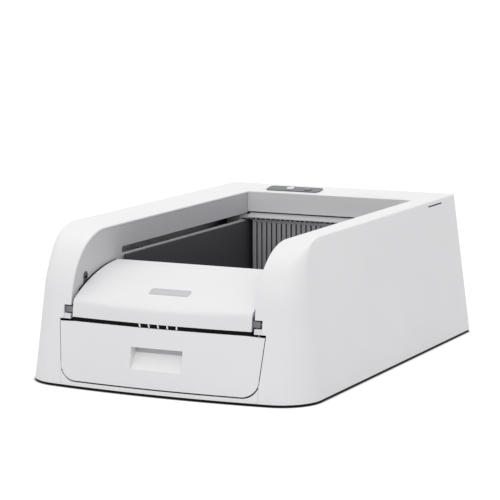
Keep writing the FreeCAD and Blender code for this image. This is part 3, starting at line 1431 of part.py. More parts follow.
def power_inlet():
    w = INLET_WIDTH / 2
    h = INLET_HEIGHT / 2
    outer = REAR_Y - REAR_DRAFT * (INLET_Z + h - SHELL_Z) / (HEIGHT - SHELL_Z) - 0.3
    y0 = outer - INLET_LENGTH
    body = box(INLET_X - w, INLET_X + w, y0, outer, INLET_Z - h, INLET_Z + h)
    inside = outer - SHELL_WALL - 1.0
    flange = box(INLET_X - w - 3, INLET_X + w + 3, y0, inside, INLET_Z - h, INLET_Z + h + 3)
    body = body.fuse(flange).cut(cyl_y(y0 + 5, outer + 1, INLET_X, INLET_Z, INLET_BORE_R))
    body = body.fuse(cyl_y(y0 + 2, outer - 2, INLET_X, INLET_Z, INLET_PIN_R))
    save("power_inlet", body.removeSplitter())


def paired():
    """Pieces that are the same on both sides."""
    makers = (
        ("inner_wall_", inner_wall),
        ("ramp_hinge_lug_", hinge_lug),
        ("hinge_block_", hinge_block),
        ("rake_carriage_", trolley),
        ("guide_rod_", guide_rod),
        ("drive_belt_", drive_belt),
    )
    for side, word in ((-1, "left"), (1, "right")):
        for prefix, maker in makers:
            save(prefix + word, maker(side))
        save("drive_pulley_" + word, pulley(side, SHAFT_D, SHAFT_R))
        save("idler_pulley_" + word, pulley(side, IDLER_D, SHAFT_R + RUN_CLEARANCE))
    save("belt_clamps", [belt_clamp(side) for side in (-1, 1)])
    save("idler_brackets", [idler_bracket(side) for side in (-1, 1)])
    save("rod_brackets", [rod_bracket(side) for side in (-1, 1)])
    save("shaft_bearings", [bearing(side) for side in (-1, 1)])


outer_shell()
rear_inner_cover()
sensor_windows()
base_pan()
base_screws()
rubber_feet()
front_rail()
drawer_front()
waste_bin()
drawer_screws()
drawer_runners()
step_ramp()
badge_plate()
light_strip()
status_light_bars()
light_board()
litter_tray()
waste_scoop()
scoop_shaft()
scoop_bushes()
scoop_motor()
rake_beam()
rake_comb()
drive_train()
control_panel()
panel_lights()
save("clean_button", push_button(0))
save("power_button", push_button(1))
control_board()
main_board()
power_inlet()
paired()
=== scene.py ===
import json
import math

import bmesh
import bpy
from mathutils import Matrix, Vector


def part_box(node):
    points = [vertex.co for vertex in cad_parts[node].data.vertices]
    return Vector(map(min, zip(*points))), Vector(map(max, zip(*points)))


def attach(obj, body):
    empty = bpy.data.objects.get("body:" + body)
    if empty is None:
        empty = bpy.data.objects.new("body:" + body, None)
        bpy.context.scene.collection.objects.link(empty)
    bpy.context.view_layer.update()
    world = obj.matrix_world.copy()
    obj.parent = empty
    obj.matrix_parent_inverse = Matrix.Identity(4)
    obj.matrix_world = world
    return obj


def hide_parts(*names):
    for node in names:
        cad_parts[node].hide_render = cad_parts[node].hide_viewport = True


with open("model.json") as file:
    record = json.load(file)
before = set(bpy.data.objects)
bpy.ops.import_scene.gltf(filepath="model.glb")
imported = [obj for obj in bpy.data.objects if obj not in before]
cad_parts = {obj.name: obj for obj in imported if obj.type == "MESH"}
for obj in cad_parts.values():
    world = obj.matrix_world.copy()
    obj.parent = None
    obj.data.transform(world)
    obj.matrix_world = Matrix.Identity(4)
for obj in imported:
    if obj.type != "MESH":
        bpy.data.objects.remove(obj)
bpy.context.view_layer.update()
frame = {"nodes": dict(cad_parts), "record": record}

MM = 0.001
SIDES = ((-1, "left"), (1, "right"))
nodes = frame["nodes"]
scene = bpy.context.scene


# Camera, off the front right corner and looking down a little. Places are in metres.

CAMERA_PLACE = Vector((1.5557, -3.2530, 0.7146))
CAMERA_AIM = Vector((-0.18007, 0.34988, 0.120))
CAMERA_LENS = 158.4
CAMERA_SENSOR = 36.0
CAMERA_REACH = 60.0
CAMERA_ROLL = math.radians(-0.094)


def studio_camera():
    data = bpy.data.cameras.new("studio_camera")
    data.sensor_width = CAMERA_SENSOR
    data.lens = CAMERA_LENS
    data.clip_end = CAMERA_REACH
    camera = bpy.data.objects.new("studio_camera", data)
    scene.collection.objects.link(camera)
    turn = (CAMERA_AIM - CAMERA_PLACE).to_track_quat("-Z", "Y").to_matrix().to_4x4()
    roll = Matrix.Rotation(CAMERA_ROLL, 4, "Z")
    camera.matrix_world = Matrix.Translation(CAMERA_PLACE) @ turn @ roll
    scene.camera = camera


studio_camera()
scene.view_settings.view_transform = "Standard"


# Finishes. A noise texture's values lie mostly in NOISE_SPAN.

NOISE_SPAN = (0.3, 0.7)


class Finish:
    """A material and the few nodes that each finish needs."""

    def __init__(self, name, color, roughness, metallic=0.0):
        self.material = bpy.data.materials.new(name)
        self.material.use_nodes = True
        self.material.diffuse_color = (*color, 1.0)
        self.tree = self.material.node_tree
        self.shader = self.tree.nodes["Principled BSDF"]
        self.shader.inputs["Base Color"].default_value = (*color, 1.0)
        self.shader.inputs["Roughness"].default_value = roughness
        self.shader.inputs["Metallic"].default_value = metallic
        self.color = color
        self.place = self.node("ShaderNodeTexCoord").outputs["Object"]

    def node(self, kind):
        return self.tree.nodes.new(kind)

    def link(self, a, b):
        self.tree.links.new(a, b)

    def stretched(self, scale):
        mapping = self.node("ShaderNodeMapping")
        mapping.inputs["Scale"].default_value = scale
        self.link(self.place, mapping.inputs["Vector"])
        return mapping.outputs["Vector"]

    def noise(self, scale, detail, stretch=None):
        texture = self.node("ShaderNodeTexNoise")
        texture.inputs["Scale"].default_value = scale
        texture.inputs["Detail"].default_value = detail
        self.link(self.stretched(stretch) if stretch else self.place, texture.inputs["Vector"])
        return texture.outputs["Fac"]

    def rough_between(self, value, low, high):
        """Lets the roughness follow a noise."""
        limits = self.node("ShaderNodeMapRange")
        limits.inputs["From Min"].default_value = NOISE_SPAN[0]
        limits.inputs["From Max"].default_value = NOISE_SPAN[1]
        limits.inputs["To Min"].default_value = low
        limits.inputs["To Max"].default_value = high
        self.link(value, limits.inputs["Value"])
        self.link(limits.outputs["Result"], self.shader.inputs["Roughness"])

    def shade(self, value, dark, light):
        """Lets the colour vary slowly between two multiples of itself."""
        ramp = self.node("ShaderNodeValToRGB")
        for stop, position, share in zip(ramp.color_ramp.elements, NOISE_SPAN, (dark, light)):
            stop.position = position
            stop.color = (*[min(c * share, 1.0) for c in self.color], 1.0)
        self.link(value, ramp.inputs["Fac"])
        self.link(ramp.outputs["Color"], self.shader.inputs["Base Color"])

    def grain(self, value, height, strength):
        bump = self.node("ShaderNodeBump")
        bump.inputs["Strength"].default_value = strength
        bump.inputs["Distance"].default_value = height
        self.link(value, bump.inputs["Height"])
        self.link(bump.outputs["Normal"], self.shader.inputs["Normal"])


def moulded(name, color, rough, specular=0.5):
    """Injection-moulded plastic: fine spark-eroded grain, slight flow variation."""
    finish = Finish(name, color, rough)
    flow = finish.noise(scale=7.0, detail=2.0)
    fine = finish.noise(scale=900.0, detail=2.0)
    finish.shade(flow, dark=0.985, light=1.01)
    finish.rough_between(fine, low=rough - 0.04, high=rough + 0.05)
    finish.grain(fine, height=0.06 * MM, strength=0.35)
    finish.shader.inputs["IOR"].default_value = 1.5
    finish.shader.inputs["Specular IOR Level"].default_value = specular
    return finish.material


def brushed(name, color, rough, stretch):
    """Drawn or turned metal with fine lines along one axis."""
    finish = Finish(name, color, rough, metallic=1.0)
    lines = finish.noise(scale=400.0, detail=3.0, stretch=stretch)
    finish.rough_between(lines, low=rough - 0.08, high=rough + 0.12)
    streaks = finish.noise(scale=30.0, detail=2.0, stretch=stretch)
    finish.shade(streaks, dark=0.9, light=1.05)
    finish.grain(lines, height=0.02 * MM, strength=0.3)
    return finish.material


def polished(name, color, rough):
    """Clear glossy plastic with faint handling marks."""
    finish = Finish(name, color, rough)
    marks = finish.noise(scale=60.0, detail=5.0)
    finish.rough_between(marks, low=rough, high=rough + 0.08)
    clouds = finish.noise(scale=12.0, detail=2.0)
    finish.shade(clouds, dark=0.92, light=1.05)
    finish.shader.inputs["Coat Weight"].default_value = 0.5
    finish.shader.inputs["Coat Roughness"].default_value = 0.05
    return finish.material


def soft_rubber(name, color):
    """Matt rubber with a fine grain and a dusty variation."""
    finish = Finish(name, color, 0.75)
    fine = finish.noise(scale=1400.0, detail=2.0)
    dust = finish.noise(scale=40.0, detail=3.0)
    finish.shade(dust, dark=0.85, light=1.15)
    finish.rough_between(fine, low=0.68, high=0.85)
    finish.grain(fine, height=0.08 * MM, strength=0.4)
    finish.shader.inputs["Specular IOR Level"].default_value = 0.25
    return finish.material


def circuit(name, color):
    """Solder mask with faint copper runs under it."""
    finish = Finish(name, color, 0.35)
    runs = finish.node("ShaderNodeTexBrick")
    runs.inputs["Scale"].default_value = 160.0
    runs.inputs["Mortar Size"].default_value = 0.03
    for socket, share in (("Color1", 1.0), ("Color2", 0.8), ("Mortar", 1.8)):
        runs.inputs[socket].default_value = (*[min(c * share, 1.0) for c in color], 1.0)
    finish.link(finish.place, runs.inputs["Vector"])
    finish.link(runs.outputs["Color"], finish.shader.inputs["Base Color"])
    finish.grain(runs.outputs["Fac"], height=0.03 * MM, strength=0.4)
    return finish.material


finishes = {
    "white_shell": moulded("shell_white_satin", (0.83, 0.83, 0.84), 0.38, specular=0.3),
    # The inner walls are grey rather than the shell's white: painted shade inside the box.
    "wall_grey": moulded("wall_panel_painted_shade_grey", (0.57, 0.57, 0.59), 0.55),
    "drawer_white": moulded("drawer_white_satin", (0.82, 0.82, 0.83), 0.40),
    "bin_charcoal": moulded("bin_charcoal", (0.045, 0.045, 0.050), 0.55),
    "step_white": moulded("step_white_satin", (0.79, 0.79, 0.80), 0.42),
    "badge_grey": moulded("badge_grey_satin", (0.52, 0.52, 0.54), 0.38),
    "strip_black": moulded("strip_black", (0.0025, 0.0025, 0.003), 0.5, specular=0.08),
    "light_white": polished("light_pipe_white", (0.85, 0.86, 0.88), 0.25),
    "lug_grey": moulded("lug_grey", (0.20, 0.20, 0.215), 0.5),
    "hinge_white": moulded("hinge_white", (0.74, 0.74, 0.78), 0.45),
    "tray_charcoal": moulded("tray_charcoal", (0.062, 0.062, 0.070), 0.55),
    "base_dark": moulded("base_dark", (0.004, 0.004, 0.005), 0.6, specular=0.15),
    "foot_rubber": soft_rubber("foot_rubber", (0.012, 0.012, 0.012)),
    "lens_black": polished("lens_black", (0.004, 0.004, 0.005), 0.08),
    "seat_grey": moulded("seat_grey", (0.16, 0.16, 0.17), 0.5),
    # The rake beam is mid grey rather than white: painted shade from the rear cover above it.
    "beam_white": moulded("beam_painted_shade_grey", (0.56, 0.56, 0.58), 0.24),
    "rake_grey": moulded("rake_grey", (0.40, 0.40, 0.42), 0.5),
    "scoop_grey": moulded("scoop_grey", (0.08, 0.08, 0.085), 0.5),
    "nylon_grey": moulded("nylon_grey", (0.42, 0.42, 0.40), 0.5),
    "bracket_grey": moulded("bracket_grey", (0.12, 0.12, 0.13), 0.55),
    "rod_steel": brushed("rod_steel", (0.60, 0.61, 0.63), 0.25, (8.0, 0.4, 8.0)),
    "screw_steel": brushed("screw_steel", (0.50, 0.51, 0.53), 0.35, (3.0, 3.0, 3.0)),
    "pinion_brass": brushed("pinion_brass", (0.72, 0.52, 0.22), 0.3, (6.0, 1.0, 1.0)),
    "belt_black": soft_rubber("belt_black", (0.014, 0.014, 0.014)),
    "motor_steel": brushed("motor_steel", (0.52, 0.53, 0.55), 0.35, (0.5, 6.0, 6.0)),
    "board_green": circuit("board_green", (0.010, 0.090, 0.030)),
    "panel_grey": moulded("panel_grey", (0.10, 0.105, 0.115), 0.35),
    "button_white": moulded("button_white", (0.80, 0.80, 0.82), 0.35),
    "button_grey": moulded("button_grey", (0.20, 0.21, 0.22), 0.35),
    "led_green": polished("led_green", (0.05, 0.45, 0.12), 0.15),
    "inlet_black": moulded("inlet_black", (0.010, 0.010, 0.011), 0.5),
}
rear_white = moulded("rear_wall_white", (0.80, 0.80, 0.81), 0.5)
# Black for the strips and sheets set in gaps, slots and notches: painted shade.
gap_shade_black = soft_rubber("gap_shade_black", (0.006, 0.006, 0.0065))
# Lighter white for the finger pocket's floor: painted light where the lamps fall into the pocket.
painted_light_pocket_white = moulded("painted_light_pocket_white", (0.90, 0.90, 0.90), 0.35)
# Grey for the finger pocket's back: painted shade under the pocket's ceiling.
painted_shade_pocket_grey = moulded("pocket_back_painted_shade", (0.48, 0.48, 0.50), 0.45)
plate_dark = moulded("lug_plate_dark", (0.085, 0.080, 0.105), 0.5)
chip_black = polished("chip_black", (0.012, 0.012, 0.013), 0.3)

slot_of = {s["node"]: s["material_slot"] for s in frame["record"]["subparts"]}
bodies = frame["record"]["behaviour"]["bodies"]
body_of = {node: body for body, members in bodies.items() for node in members}
for name, piece in nodes.items():
    piece.data.materials.clear()
    piece.data.materials.append(finishes[slot_of[name]])


# Making pieces. Angles are in degrees: an edge that bends less than SMOOTH_BELOW is shaded smooth, and
# one that bends more than ROUND_ABOVE is rounded where a piece asks for it.

SMOOTH_BELOW = 32.0
SMOOTH_BELOW_TURNED = 28.0
ROUND_ABOVE = 38.0
FLAT_WITHIN = 0.6
EDGE_ROUND = 0.35 * MM
WELD_DIST = 0.004 * MM
SLIVER_DIST = 0.002 * MM
CUT_DIST = 0.001 * MM


def set_shading(bm, angle):
    """Smooth over the curves, sharp at the edges."""
    for face in bm.faces:
        face.smooth = True
    for edge in bm.edges:
        bend = edge.calc_face_angle(0.0) if len(edge.link_faces) == 2 else math.pi
        edge.smooth = bend < math.radians(angle)


def finished(bm, name, body, slot, replaced=(), material=None, angle=SMOOTH_BELOW, edge_round=0.0):
    """Makes an object of a mesh, with its finish, its body and what it stands for."""
    set_shading(bm, angle)
    mesh = bpy.data.meshes.new(name)
    bm.to_mesh(mesh)
    bm.free()
    mesh.materials.append(material or finishes[slot])
    piece = bpy.data.objects.new(name, mesh)
    scene.collection.objects.link(piece)
    if edge_round:
        rounding = piece.modifiers.new("edge_round", "BEVEL")
        rounding.width = edge_round
        rounding.segments = 2
        rounding.limit_method = "ANGLE"
        rounding.angle_limit = math.radians(ROUND_ABOVE)
        weights = piece.modifiers.new("even_normals", "WEIGHTED_NORMAL")
        weights.keep_sharp = True
    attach(piece, body)
    if replaced:
        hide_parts(*replaced)


def standing_in(bm, name, node, material=None, angle=SMOOTH_BELOW, edge_round=0.0):
    """Finishes a mesh that takes a node's place, on its body and in its slot."""
    finished(bm, name, body_of[node], slot_of[node], (node,), material, angle, edge_round)


def welded(node):
    """A copy of a node's mesh with its triangles joined at their corners."""
    bm = bmesh.new()
    bm.from_mesh(nodes[node].data)
    bmesh.ops.remove_doubles(bm, verts=bm.verts, dist=WELD_DIST)
    bmesh.ops.dissolve_degenerate(bm, dist=SLIVER_DIST, edges=bm.edges)
    return bm


def refined(node, material=None, angle=SMOOTH_BELOW, edge_round=0.0):
    """A node's own form, shaded smooth, with softened edges where edge_round says so."""
    bm = welded(node)
    if edge_round:
        bmesh.ops.dissolve_limit(bm, angle_limit=math.radians(FLAT_WITHIN),
                                 verts=bm.verts, edges=bm.edges)
    standing_in(bm, "fine_" + node, node, material, angle, edge_round)


def add_block(bm, low, high, soft, steps=1):
    """A block between two corners, its edges rounded."""
    low = Vector(low)
    high = Vector(high)
    size = high - low
    made = bmesh.ops.create_cube(bm, size=1.0)["verts"]
    shape = Matrix.Translation((low + high) / 2) @ Matrix.Diagonal((*size, 1.0))
    bmesh.ops.transform(bm, matrix=shape, verts=made)
    edges = list({e for v in made for e in v.link_edges})
    bmesh.ops.bevel(bm, geom=edges, offset=min(soft, min(size) * 0.4), offset_type="OFFSET",
                    segments=steps, profile=0.5, affect="EDGES", material=-1)


def add_turned(bm, outline, centre, axis, steps):
    """Spins an outline of (radius, height) points about an axis through a centre."""
    old = set(bm.verts)
    points = [bm.verts.new((r, 0.0, h)) for r, h in outline]
    edges = [bm.edges.new(pair) for pair in zip(points, points[1:] + points[:1])]
    bmesh.ops.spin(bm, geom=points + edges, cent=(0, 0, 0), axis=(0, 0, 1),
                   angle=2 * math.pi, steps=steps, use_merge=True)
    spun = [v for v in bm.verts if v not in old]
    bmesh.ops.remove_doubles(bm, verts=spun, dist=SLIVER_DIST)
    made = [v for v in bm.verts if v not in old]
    turn = Vector(axis).to_track_quat("Z", "Y").to_matrix().to_4x4()
    bmesh.ops.transform(bm, matrix=Matrix.Translation(centre) @ turn, verts=made)
    bmesh.ops.recalc_face_normals(bm, faces=list({f for v in made for f in v.link_faces}))


def keep_faces(bm, wanted):
    """Leaves only the faces that a test picks."""
    bm.normal_update()
    gone = [f for f in bm.faces if not wanted(f)]
    bmesh.ops.delete(bm, geom=gone, context="FACES")


def cut_beyond(bm, place, normal):
    """Cuts away what lies beyond a plane."""
    everything = list(bm.verts) + list(bm.edges) + list(bm.faces)
    bmesh.ops.bisect_plane(bm, geom=everything, dist=CUT_DIST, plane_co=place, plane_no=normal,
                           clear_outer=True)


def close_cut(bm):
    open_edges = [e for e in bm.edges if len(e.link_faces) == 1]
    bmesh.ops.holes_fill(bm, edges=open_edges, sides=0)


# The moulded pieces keep the CAD's own forms, shaded smooth. Flat panels, blocks and brackets also have
# their edges softened.

for node in ("outer_shell", "step_ramp", "drawer_front", "waste_scoop", "litter_tray",
             "waste_bin", "base_pan", "control_panel", "rake_beam"):
    refined(node)
refined("rear_inner_cover", material=rear_white, edge_round=EDGE_ROUND)
for node in ("inner_wall_left", "inner_wall_right", "front_rail",
             "hinge_block_left", "hinge_block_right", "sensor_seats", "power_inlet",
             "rake_carriage_left", "rake_carriage_right", "belt_clamps", "motor_bracket",
             "rod_brackets", "idler_brackets", "drawer_runners"):
    refined(node, edge_round=EDGE_ROUND)


# Rake

TINE_COUNT = 30
TINE_PITCH = 9.7 * MM
TINE_GAP = 2.4 * MM
TINE_ROUND = 1.55 * MM
ROOT_BAR_HEIGHT = 5.5 * MM
ROOT_LAP = 0.5 * MM
GROOVE_DEPTH = 2.8 * MM
WEB_HALF = 0.6 * MM
NOSE_WALL = 0.6 * MM
GROOVE_SHADE_THICK = 0.4 * MM


def rake_tines():
    """Round-edged upright tines under one root bar."""
    low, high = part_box("rake_comb")
    root = high[2] - ROOT_BAR_HEIGHT
    bm = bmesh.new()
    for index in range(TINE_COUNT):
        x0 = low[0] + index * TINE_PITCH
        x1 = x0 + TINE_PITCH - TINE_GAP
        add_block(bm, (x0, low[1], low[2]), (x1, high[1], root + ROOT_LAP), TINE_ROUND, steps=3)
    add_block(bm, (low[0], low[1], root), high, soft=0.3 * MM, steps=2)
    standing_in(bm, "rake_tines", "rake_comb")


def beam_webs():
    """Short webs across the groove under the beam's nose, one over each gap, and a black strip along
    the groove: painted shade.
    """
    low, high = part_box("rake_comb")
    beam_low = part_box("rake_beam")[0]
    groove_top = beam_low[2] + GROOVE_DEPTH
    bm = bmesh.new()
    for index in range(1, TINE_COUNT):
        x = low[0] - TINE_GAP / 2 + index * TINE_PITCH
        add_block(bm, (x - WEB_HALF, beam_low[1] + NOSE_WALL, beam_low[2]),
                  (x + WEB_HALF, low[1], groove_top), soft=0.3 * MM)
    finished(bm, "beam_webs", "rake", "beam_white")
    bm = bmesh.new()
    add_block(bm, (low[0], low[1] - GROOVE_SHADE_THICK, beam_low[2]), (high[0], low[1], groove_top),
              soft=0.1 * MM)
    finished(bm, "beam_groove_shade", "rake", "beam_white", material=gap_shade_black)


rake_tines()
beam_webs()


# Black strips and sheets in gaps, slots and notches, which paint the shade there. Places given in
# millimetres are on the right side, and the left side mirrors them.

SHADE_SHIFT = 0.25 * MM
DRAWER_SHADE_THICK = 0.95 * MM
DRAWER_END_X = 150 * MM
DRAWER_SHADE_BACK = -330 * MM
STEP_SHADE_WIDTH = 4.0 * MM
STEP_SHADE_FRONT = -312.5 * MM
COVER_SLOT_SHADE = ((211.5, 225.6, 234.46), (216.2, 288.4, 236.74))
NOTCH_SHADE = ((158.6, -319.9, 114.4), (170.7, -319.4, 127.3))
SHADE_STRIP_HALF = 157.5 * MM
SHADE_STRIP_THICK = 0.6 * MM
SHADE_STRIP_LOW = 198.6 * MM
SHADE_STRIP_HIGH = 200.2 * MM


def drawer_gap_shade():
    """Black sheet round the drawer front, in the gap to the housing: painted shade in the gap."""
    low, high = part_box("drawer_front")
    mid_z = (low[2] + high[2]) / 2
    bottom = low[2] + 2 * MM
    bm = welded("drawer_front")

    def on_outline(face):
        normal = face.normal
        spot = face.calc_center_median()
        sideways = abs(normal.y) < 0.25 and normal.z < 0.5
        outward = normal.x * spot.x + normal.z * (spot.z - mid_z) > 0
        at_edge = abs(spot.x) > DRAWER_END_X or spot.z < bottom
        at_front = max(v.co.y for v in face.verts) < DRAWER_SHADE_BACK
        return sideways and outward and at_edge and at_front

    keep_faces(bm, on_outline)
    bmesh.ops.translate(bm, verts=bm.verts, vec=(0.0, SHADE_SHIFT, 0.0))
    bmesh.ops.solidify(bm, geom=list(bm.faces), thickness=-DRAWER_SHADE_THICK)
    finished(bm, "drawer_gap_shade", "drawer", "drawer_white", material=gap_shade_black)


def step_gap_shade(side, end):
    """Black strip down one side of the step, in the gap to the inner wall: painted shade in the gap."""
    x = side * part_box("step_ramp")[1][0]
    bm = welded("step_ramp")

    def on_side(face):
        spot = face.calc_center_median()
        return abs(abs(face.normal.x) - 1.0) < 0.05 and abs(spot.x - x) < 0.6 * MM

    keep_faces(bm, on_side)
    cut_beyond(bm, (0, STEP_SHADE_FRONT, 0), (0, -1, 0))
    bmesh.ops.translate(bm, verts=bm.verts, vec=(0.0, 0.0, -SHADE_SHIFT))
    made = bmesh.ops.extrude_face_region(bm, geom=list(bm.faces))
    moved = [v for v in made["geom"] if isinstance(v, bmesh.types.BMVert)]
    bmesh.ops.translate(bm, verts=moved, vec=(side * STEP_SHADE_WIDTH, 0.0, 0.0))
    bmesh.ops.recalc_face_normals(bm, faces=bm.faces)
    finished(bm, "step_side_gap_shade_" + end, "ramp", "step_white", material=gap_shade_black)


def shade_sheets(name, corners, slot):
    """A thin black block on each side of the housing, between two corners: painted shade behind a slot
    or in a notch.
    """
    (x0, y0, z0), (x1, y1, z1) = corners
    bm = bmesh.new()
    for side, _ in SIDES:
        near, far = sorted((side * x0 * MM, side * x1 * MM))
        add_block(bm, (near, y0 * MM, z0 * MM), (far, y1 * MM, z1 * MM), soft=0.1 * MM)
    finished(bm, name, "housing", slot, material=gap_shade_black)


def rake_gap_shade():
    """Black strip along the foot of the rear inner cover, over the rake: painted shade in the gap above
    the beam.
    """
    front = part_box("rear_inner_cover")[0][1]
    bm = bmesh.new()
    add_block(bm, (-SHADE_STRIP_HALF, front - SHADE_STRIP_THICK, SHADE_STRIP_LOW), (SHADE_STRIP_HALF, front, SHADE_STRIP_HIGH),
              soft=0.2 * MM)
    finished(bm, "rake_gap_shade", "housing", "wall_grey", material=gap_shade_black)


drawer_gap_shade()
for side, end in SIDES:
    step_gap_shade(side, end)
shade_sheets("cover_slot_shade", COVER_SLOT_SHADE, "white_shell")
shade_sheets("notch_shade", NOTCH_SHADE, "hinge_white")
rake_gap_shade()


# Hinge lugs, badge and finger pocket

LUG_SEAM = 155.62 * MM
BADGE_FLAT_WITHIN = 3.0
BADGE_RIM = 0.9 * MM
BADGE_SINK = 0.25 * MM
POCKET_HALF = 44.0 * MM
POCKET_FLOOR_Z = (39.5 * MM, 70.0 * MM)
POCKET_FLOOR_BACK = -334 * MM
POCKET_BACK_Z = (60.0 * MM, 73.2 * MM)
POCKET_BACK_FRONT = -348 * MM


def hinge_lugs():
    """The dark end plate and the lug with its pin, cut from the one solid."""
    for side, end in SIDES:
        node = "ramp_hinge_lug_" + end
        for name, facing, material in (("lug_plate_", side, plate_dark), ("lug_", -side, None)):
            bm = welded(node)
            cut_beyond(bm, (side * LUG_SEAM, 0.0, 0.0), (facing, 0, 0))
            close_cut(bm)
            finished(bm, name + end, "ramp", "lug_grey", (node,), material)


def badge():
    """Blank badge with a raised rim round a slightly sunk field."""
    bm = welded("badge_plate")
    bmesh.ops.dissolve_limit(bm, angle_limit=math.radians(BADGE_FLAT_WITHIN),
                             verts=bm.verts, edges=bm.edges)
    bm.normal_update()
    top = [f for f in bm.faces if f.normal.z > 0.8]
    bmesh.ops.inset_region(bm, faces=top, thickness=BADGE_RIM, depth=0.0, use_even_offset=True)
    bmesh.ops.inset_region(bm, faces=top, thickness=BADGE_SINK, depth=-BADGE_SINK,
                           use_even_offset=True)
    finished(bm, "blank_badge", "ramp", "badge_grey", ("badge_plate",))


def on_pocket_floor(face):
    spot = face.calc_center_median()
    low, high = POCKET_FLOOR_Z
    inside = abs(spot.x) < POCKET_HALF and low < spot.z < high and spot.y < POCKET_FLOOR_BACK
    return inside and face.normal.z > 0.25 and face.normal.y < -0.05


def on_pocket_back(face):
    spot = face.calc_center_median()
    low, high = POCKET_BACK_Z
    inside = abs(spot.x) < POCKET_HALF and low < spot.z < high and spot.y > POCKET_BACK_FRONT
    return inside and face.normal.y < -0.8


def pocket_facing(name, wanted, thickness, material):
    """A thin facing on the faces of the finger pocket that a test picks, in a colour that paints the
    light or shade there.
    """
    bm = welded("drawer_front")
    keep_faces(bm, wanted)
    bmesh.ops.solidify(bm, geom=list(bm.faces), thickness=-thickness)
    finished(bm, name, "drawer", "drawer_white", material=material)


hinge_lugs()
badge()
# Painted light on the pocket floor.
pocket_facing("pocket_floor", on_pocket_floor, 0.15 * MM, painted_light_pocket_white)
# Painted shade on the pocket back.
pocket_facing("pocket_back", on_pocket_back, 0.12 * MM, painted_shade_pocket_grey)


# Belts, motors, board and screws

BELT_THICK = 1.4 * MM
BELT_EDGE = 0.2 * MM
TOOTH_PITCH = 5.0 * MM
TOOTH_HALF_WIDTH = 0.9 * MM
TOOTH_HALF_HEIGHT = 0.45 * MM
MOTOR_RING_FROM_BACK = 6 * MM
MOTOR_RING = ((-0.5, -3.0), (0.6, -2.6), (0.6, 2.6), (-0.5, 3.0))
TERMINAL_OFFSET = 6 * MM
TERMINAL_HALF_WIDTH = 1.4 * MM
TERMINAL_HALF_THICK = 0.4 * MM
TERMINAL_LENGTH = 0.9 * MM
# Each component's place as shares of the board, then its width, height and depth in millimetres.
BOARD_PARTS = ((0.3, 0.5, 14, 14, 1.6), (0.65, 0.62, 9, 6, 1.4), (0.85, 0.3, 12, 8, 5.5),
               (0.12, 0.8, 8, 5, 4.0), (0.12, 0.2, 8, 5, 4.0), (0.5, 0.15, 7, 7, 6.0))
CROSS_SINK = 0.05 * MM
CROSS_RISE = 0.18 * MM
CROSS_ARM_SHARE = 0.22


def toothed_belt(node):
    """The belt with its moulded teeth on the inner side of both runs."""
    low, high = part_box(node)
    bm = welded(node)
    r = (high[2] - low[2]) / 2
    start = low[1] + r
    count = int((high[1] - low[1] - 2 * r) / TOOTH_PITCH)
    for index in range(count):
        y = start + (index + 0.5) * TOOTH_PITCH
        for root in (low[2] + BELT_THICK, high[2] - BELT_THICK):
            add_block(bm, (low[0] + BELT_EDGE, y - TOOTH_HALF_WIDTH, root - TOOTH_HALF_HEIGHT),
                      (high[0] - BELT_EDGE, y + TOOTH_HALF_WIDTH, root + TOOTH_HALF_HEIGHT),
                      soft=0.25 * MM)
    standing_in(bm, "toothed_" + node, node)


def dressed_motor(node, toward):
    """A raised ring round a motor's case and two terminals on its back, away from its shaft's side."""
    low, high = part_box(node)
    bm = welded(node)
    y = (low[1] + high[1]) / 2
    z = (low[2] + high[2]) / 2
    r = (high[2] - low[2]) / 2
    back = low[0] if toward > 0 else high[0]
    ring = [(r + rise * MM, along * MM) for rise, along in MOTOR_RING]
    add_turned(bm, ring, (back + toward * MOTOR_RING_FROM_BACK, y, z), (1, 0, 0), steps=40)
    x0, x1 = sorted((back, back - toward * TERMINAL_LENGTH))
    for side, _ in SIDES:
        middle = y + side * TERMINAL_OFFSET
        add_block(bm, (x0, middle - TERMINAL_HALF_WIDTH, z - TERMINAL_HALF_THICK),
                  (x1, middle + TERMINAL_HALF_WIDTH, z + TERMINAL_HALF_THICK), soft=0.1 * MM)
    standing_in(bm, "dressed_" + node, node)


def board_parts():
    """Chips, sockets and capacitors on the main board's front face."""
    low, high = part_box("main_board")
    bm = bmesh.new()
    for across, up, wide, tall, deep in BOARD_PARTS:
        x = low[0] + across * (high[0] - low[0])
        z = low[2] + up * (high[2] - low[2])
        add_block(bm, (x - wide * MM / 2, low[1] - deep * MM, z - tall * MM / 2),
                  (x + wide * MM / 2, low[1], z + tall * MM / 2), soft=0.25 * MM, steps=2)
    finished(bm, "main_board_parts", body_of["main_board"], slot_of["main_board"],
             material=chip_black)


def loose_parts(bm):
    """The corners of each separate part of a mesh, always in the same order."""
    parts = []
    found = set()
    for first in bm.verts:
        if first in found:
            continue
        found.add(first)
        part = [first]
        for vert in part:
            beside = [edge.other_vert(vert) for edge in vert.link_edges]
            fresh = [v for v in beside if v not in found]
            found.update(fresh)
            part.extend(fresh)
        parts.append([v.co.copy() for v in part])
    return parts


def crossed_screws(node, axis, toward, reach):
    """A raised cross on every screw head of a node, in place of its drive recess."""
    bm = welded(node)
    for spots in loose_parts(bm):
        face = max(toward * p[axis] for p in spots) * toward
        middle = sum(spots, Vector()) / len(spots)
        arms = [a for a in (0, 1, 2) if a != axis]
        for long_axis in arms:
            low = list(middle)
            high = list(middle)
            for arm in arms:
                half = reach if arm == long_axis else reach * CROSS_ARM_SHARE
                low[arm] -= half
                high[arm] += half
            low[axis], high[axis] = sorted((face - toward * CROSS_SINK, face + toward * CROSS_RISE))
            add_block(bm, low, high, soft=0.05 * MM)
    standing_in(bm, "cross_" + node, node)


